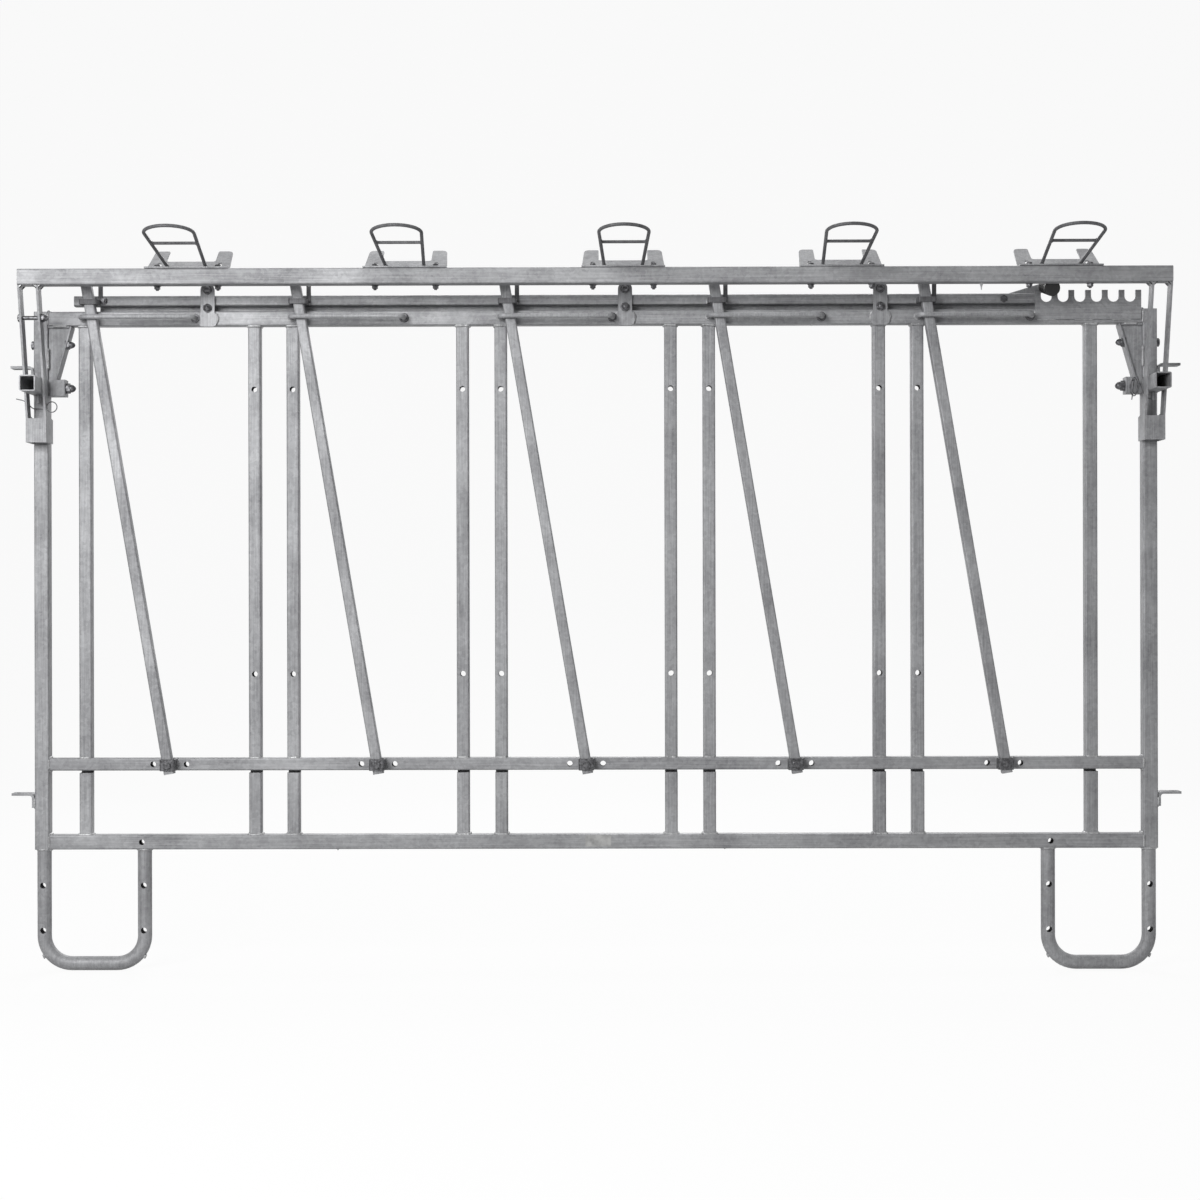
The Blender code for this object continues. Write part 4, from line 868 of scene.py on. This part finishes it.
arm = {"flat": 0.005, "fillet": 0.009, "filletLong": 0.028, "filletIn": 0.017, "filletEdge": 0.0004}
gusset = {"wide": 0.056, "lip": 0.004, "recess": 0.009, "tall": 0.130, "toe": 0.020, "deep": 0.0345,
          "sheet": 0.004, "gap": 0.0002, "clamp": 0.040, "clampEdge": 0.0012, "lap": 0.002, "nutUp": 0.0838,
          "nutIn": 0.0415, "nutForward": 0.0055, "outerNut": (0.018, 0.0070, 0.15),
          "outerWasher": (0.0115, 0.0015), "nut": (0.019, 0.021), "washer": (0.0120, 0.0016),
          "clampNut": (0.0215, 0.021), "clampWasher": (0.0130, 0.0016), "washerGap": 0.0016}
fixings = []
for side, name in sides:
    armLow, armHigh = lowHigh(f"arm_{name}")
    postLow, postHigh = lowHigh(f"end_post_{name}")
    # concave corner of weld: the square corner less a quarter circle
    f = arm["fillet"]
    corner = np.concatenate([[(0, 0), (f, 0)], arcPoints((f, -f), f, 97, 173, 7), [(0, -f)]])
    innerEdge, outerEdge = (armHigh[0], armLow[0]) if side < 0 else (armLow[0], armHigh[0])
    for x, way in ((outerEdge - side * arm["flat"], -side), (innerEdge + side * arm["flat"], side),
                   (innerEdge, -side)):
        beads.append(slab(corner, arm["filletLong"], ((way, 0, 0), (0, 0, 1), (0, -1, 0)),
                          (x, beamLow[1] + arm["filletIn"], beamLow[2]), arm["filletEdge"]))
    # gusset: a web sheet between a top flange and a sloping flange, over a clamp block
    way, bent, lip = -side, gusset["sheet"], gusset["lip"]
    inX = postHigh[0] + gusset["gap"] if side < 0 else postLow[0] - gusset["gap"]
    outX = postLow[0] if side < 0 else postHigh[0]
    topZ, midY = rail[0][2] - gusset["gap"], (postLow[1] + postHigh[1]) / 2
    wide, toe, tall, deep, clamp = (gusset[key] for key in ("wide", "toe", "tall", "deep", "clamp"))
    axes = ((way, 0, 0), (0, 0, 1), (0, -1, 0))
    middle = (inX, frontY + deep / 2, topZ)
    webWide, webToe, slant = wide - 0.001, toe - 0.001, bent * 1.25
    web = slab([(0, 0), (webWide, 0), (webWide, -lip), (webToe, -tall), (0, -tall)], bent, axes,
               (inX, frontY + gusset["recess"], topZ))
    slope = [(wide, 0), (wide, -lip), (toe, -tall), (toe - slant, -tall), (wide - slant, -lip - 0.002),
             (wide - slant, 0)]
    flange = slab([(0, 0), (wide - 0.002, 0), (wide - 0.002, -bent), (0, -bent)], deep, axes, middle)
    clampTop = topZ - tall + gusset["lap"]
    block = [(0, clampTop), (clamp, clampTop), (clamp, clampTop - clamp), (0, clampTop - clamp)]
    sheets = [web, slab(slope, deep, axes, middle), flange,
              slab(block, deep, axes, (inX, frontY + deep / 2, 0), gusset["clampEdge"])]
    piece(f"gusset_{name}_sheet", sheets, zinc, replaced=[f"gusset_{name}"])
    boltZ, clampZ = clampTop + gusset["nutUp"], clampTop - clamp / 2
    fixings += hexNut((outX + side * gusset["washerGap"], midY, boltZ), (side, 0, 0), gusset["outerNut"],
                      gusset["outerWasher"])
    fixings += domeNut((inX + way * gusset["nutIn"], midY - gusset["nutForward"], boltZ), (way, 0, 0),
                       gusset["nut"], gusset["washer"])
    fixings += domeNut((inX + way * (clamp + gusset["washerGap"]), midY, clampZ), (way, 0, 0),
                       gusset["clampNut"], gusset["clampWasher"])
piece("corner_bolts", fixings, plated, "frame")

# cross bolt of the left arm
crossBolt = {"z": 1.2478, "y": -0.1204, "bar": 0.010, "long": 0.064, "head": (0.017, 0.0062, 0.2),
             "headGap": 0.0002, "nut": (0.017, 0.0150), "nutGap": 0.0016, "washer": (0.0105, 0.0015)}
armLow, armHigh = lowHigh("arm_left")
boltY, boltZ = crossBolt["y"], crossBolt["z"]
surfaces = hexNut((armLow[0] - crossBolt["headGap"], boltY, boltZ), (-1, 0, 0), crossBolt["head"])
surfaces.append(shank((armLow[0], boltY, boltZ), (1, 0, 0), crossBolt["bar"], crossBolt["long"]))
surfaces += domeNut((armHigh[0] + crossBolt["nutGap"], boltY, boltZ), (1, 0, 0), crossBolt["nut"],
                    crossBolt["washer"])
piece("left_arm_cross_bolt", surfaces, plated, "frame")

# spring wire clips: the left one runs under its pin and ends in a ring, the right one hangs coiled
wire = {"thick": 0.0026,    # places are from the middle of the pin's foot
        "leftRoute": [(-0.051, -0.004, 0.012), (-0.030, -0.002, 0.006), (-0.012, -0.004, -0.010),
                      (0.006, -0.008, -0.013)],
        "rightRoute": [(0.004, 0, 0.004), (-0.018, -0.004, 0.010), (-0.034, -0.012, 0.040)],
        "rightEnd": [(-0.049, 0.006, 0.004)]}


def wound(centre, wide, tall, start, end, drift, count):
    # wire wound about Y: (wide cos a, 0, tall sin a) + centre + share of the way * drift
    share = np.linspace(0, 1, count)[:, None]
    angle = np.radians(np.linspace(start, end, count))
    circle = np.stack([wide * np.cos(angle), np.zeros(count), tall * np.sin(angle)], 1)
    return circle + centre + share * drift


def pinFoot(name):
    low, high = lowHigh(name)
    return np.array([(low[0] + high[0]) / 2, (low[1] + high[1]) / 2, low[2]])


ring = wound((0.0365, -0.012, -0.0085), 0.0125, 0.0125, 200, -140, (0, -0.004, 0), 22)
coil = wound((-0.045, -0.014, 0.040), 0.0085, 0.020, 60, -640, (0, 0.020, -0.010), 50)
routes = [pinFoot("clip_pin_left") + np.concatenate([wire["leftRoute"], ring]),
          pinFoot("clip_pin_right") + np.concatenate([wire["rightRoute"], coil, wire["rightEnd"]])]
clips = [carried(smoothPath(route), wire["thick"] / 2, 10, (0, 1, 0.1)) for route in routes]
piece("spring_clips", clips, plated, "frame", 60)

# zinc drips that hang under the beam and the rails: X, Y behind the front face, under which rail, length
drips = [(0.909, 0.020, beamLow, 0.016), (-0.672, 0.026, beamLow, 0.004), (-0.62, 0.012, foot[0], 0.004),
         (0.31, 0.014, foot[0], 0.003), (0.52, 0.010, rail[0], 0.004)]
for x, behind, low, long in drips:
    y = (beamLow[1] if low is beamLow else frontY) + behind
    profile = [(0.0060, -0.003), (0.0052, 0.0), (0.0030, long * 0.30), (0.0016, long * 0.62), (0.0010, long)]
    beads.append(roundTurn(profile, (x, y, low[2] + 0.0005), (0, 0, -1), 12))
# the frame's beads, fillets and drips take the lighter weld zinc, a painted highlight
piece("frame_welds", beads, paintedHighlightWeldZinc, sharp=60)
print("corner fixings ready")

# Label

sticker = {"wide": 0.062, "tall": 0.028, "thick": 0.0003, "corner": 0.0025, "x": 0.006, "z": 0.0025,
           "edge": 0.00008}
r = sticker["corner"]
w, t = sticker["wide"] / 2 - r, sticker["tall"] / 2 - r
outline = np.concatenate([arcPoints((w, t), r, 0, 90, 5), arcPoints((-w, t), r, 90, 180, 5),
                          arcPoints((-w, -t), r, 180, 270, 5), arcPoints((w, -t), r, 270, 360, 5)])
blank = slab(outline, sticker["thick"], upright, (sticker["x"], frontY - sticker["thick"] / 2, sticker["z"]),
             sticker["edge"])
piece("rail_label", [blank], label)

# Floor, light and camera

ground = float(cadBox[0][2])
room = {"wide": 24.0, "front": -14.0, "back": 7.0, "rise": 12.0, "bend": 2.5}
# floor that bends up into a backdrop: one profile across the room
bend, back = room["bend"], room["back"]
line = np.concatenate([[(room["front"], ground)], arcPoints((back - bend, ground + bend), bend, -90, 0, 24),
                       [(back, ground + room["rise"])]])
across = np.tile((-room["wide"], room["wide"]), len(line))
points = np.stack([across, np.repeat(line[:, 0], 2), np.repeat(line[:, 1], 2)], 1)
faces = turned(stripFaces(len(line), 2, False))
sweep = placed("studio_sweep", joinedMesh("studio_sweep", [(points, faces)]))
sweep.data.shade_smooth()


def paleBackdrop(name):
    # pale floor: darker matt paint for the light it bounces, a steady glow for the camera and reflections
    material, shader, _ = newMaterial(name)
    shader.inputs["Roughness"].default_value = 0.9
    rays = addNode(material, "LightPath").outputs
    seen = addNode(material, "Math", {"operation": "MAXIMUM"},
                   links={0: rays["Is Camera Ray"], 1: rays["Is Glossy Ray"]})
    seenAll = addNode(material, "Math", {"operation": "MAXIMUM"},
                      links={0: seen, 1: rays["Is Transmission Ray"]})
    paint = addNode(material, "ValToRGB", links={"Fac": seenAll}, stops=((0.0, "#6f6f70"), (1.0, "#f4f4f4")))
    feed(material, shader, {"Base Color": paint})
    glow = addNode(material, "Emission", values={"Color": (1, 1, 1, 1), "Strength": 1.0})
    blend = addNode(material, "Math", {"operation": "MULTIPLY"}, {1: 0.93}, {0: seenAll})
    mix = addNode(material, "MixShader", links={"Fac": blend, 1: shader, 2: glow})
    feed(material, material.node_tree.nodes["Material Output"], {"Surface": mix})
    return material


sweep.data.materials.append(paleBackdrop("pale_backdrop"))

# the world lights the object softly and shows nearly white to the camera
world = bpy.data.worlds.new("studio")
bpy.context.scene.world = world
world.use_nodes = True
rays = addNode(world, "LightPath")
strength = addNode(world, "MapRange", values={"To Min": 0.22, "To Max": 0.955},
                   links={"Value": rays.outputs["Is Camera Ray"]})
background = world.node_tree.nodes["Background"]
background.inputs["Color"].default_value = (1, 1, 1, 1)
feed(world, background, {"Strength": strength})


def softLamp(name, place, target, size, power):
    lamp = bpy.data.lights.new(name, "AREA")
    lamp.shape = "RECTANGLE"
    lamp.size, lamp.size_y = size
    lamp.energy = power
    thing = placed(name, lamp)
    thing.location = place
    thing.rotation_euler = (Vector(target) - Vector(place)).to_track_quat("-Z", "Y").to_euler()


softLamp("key_left", (-1.9, -3.8, 2.1), (-0.5, 0, 0.75), (2.0, 2.0), 136)
softLamp("fill_right", (4.5, -3.5, 2.4), (0.6, 0, 0.6), (2.5, 2.5), 5)
softLamp("top_soft", (0, 0.5, 4.8), (0, 0, 0.5), (4.0, 2.0), 50)
softLamp("back_soft", (0, 4.6, 3.4), (0, 0, 0.6), (3.5, 2.0), 120)
softLamp("side_soft", (5.0, 0.3, 2.0), (1.4, 0, 0.7), (2.0, 2.0), 22)

view = {"eye": (0.0249, -5.1483, 0.5792), "turn": 0.292, "roll": 0.1295, "lens": 63.98, "shift": 0.00436}
camera = bpy.data.cameras.new("camera")
camera.sensor_width = 36.0
camera.lens = view["lens"]
camera.shift_x = view["shift"]
eye = placed("camera", camera)
eye.location = view["eye"]
eye.rotation_euler = (math.pi / 2, math.radians(view["roll"]), math.radians(view["turn"]))
bpy.context.scene.camera = eye
bpy.context.scene.view_settings.view_transform = "Standard"
print("studio ready")
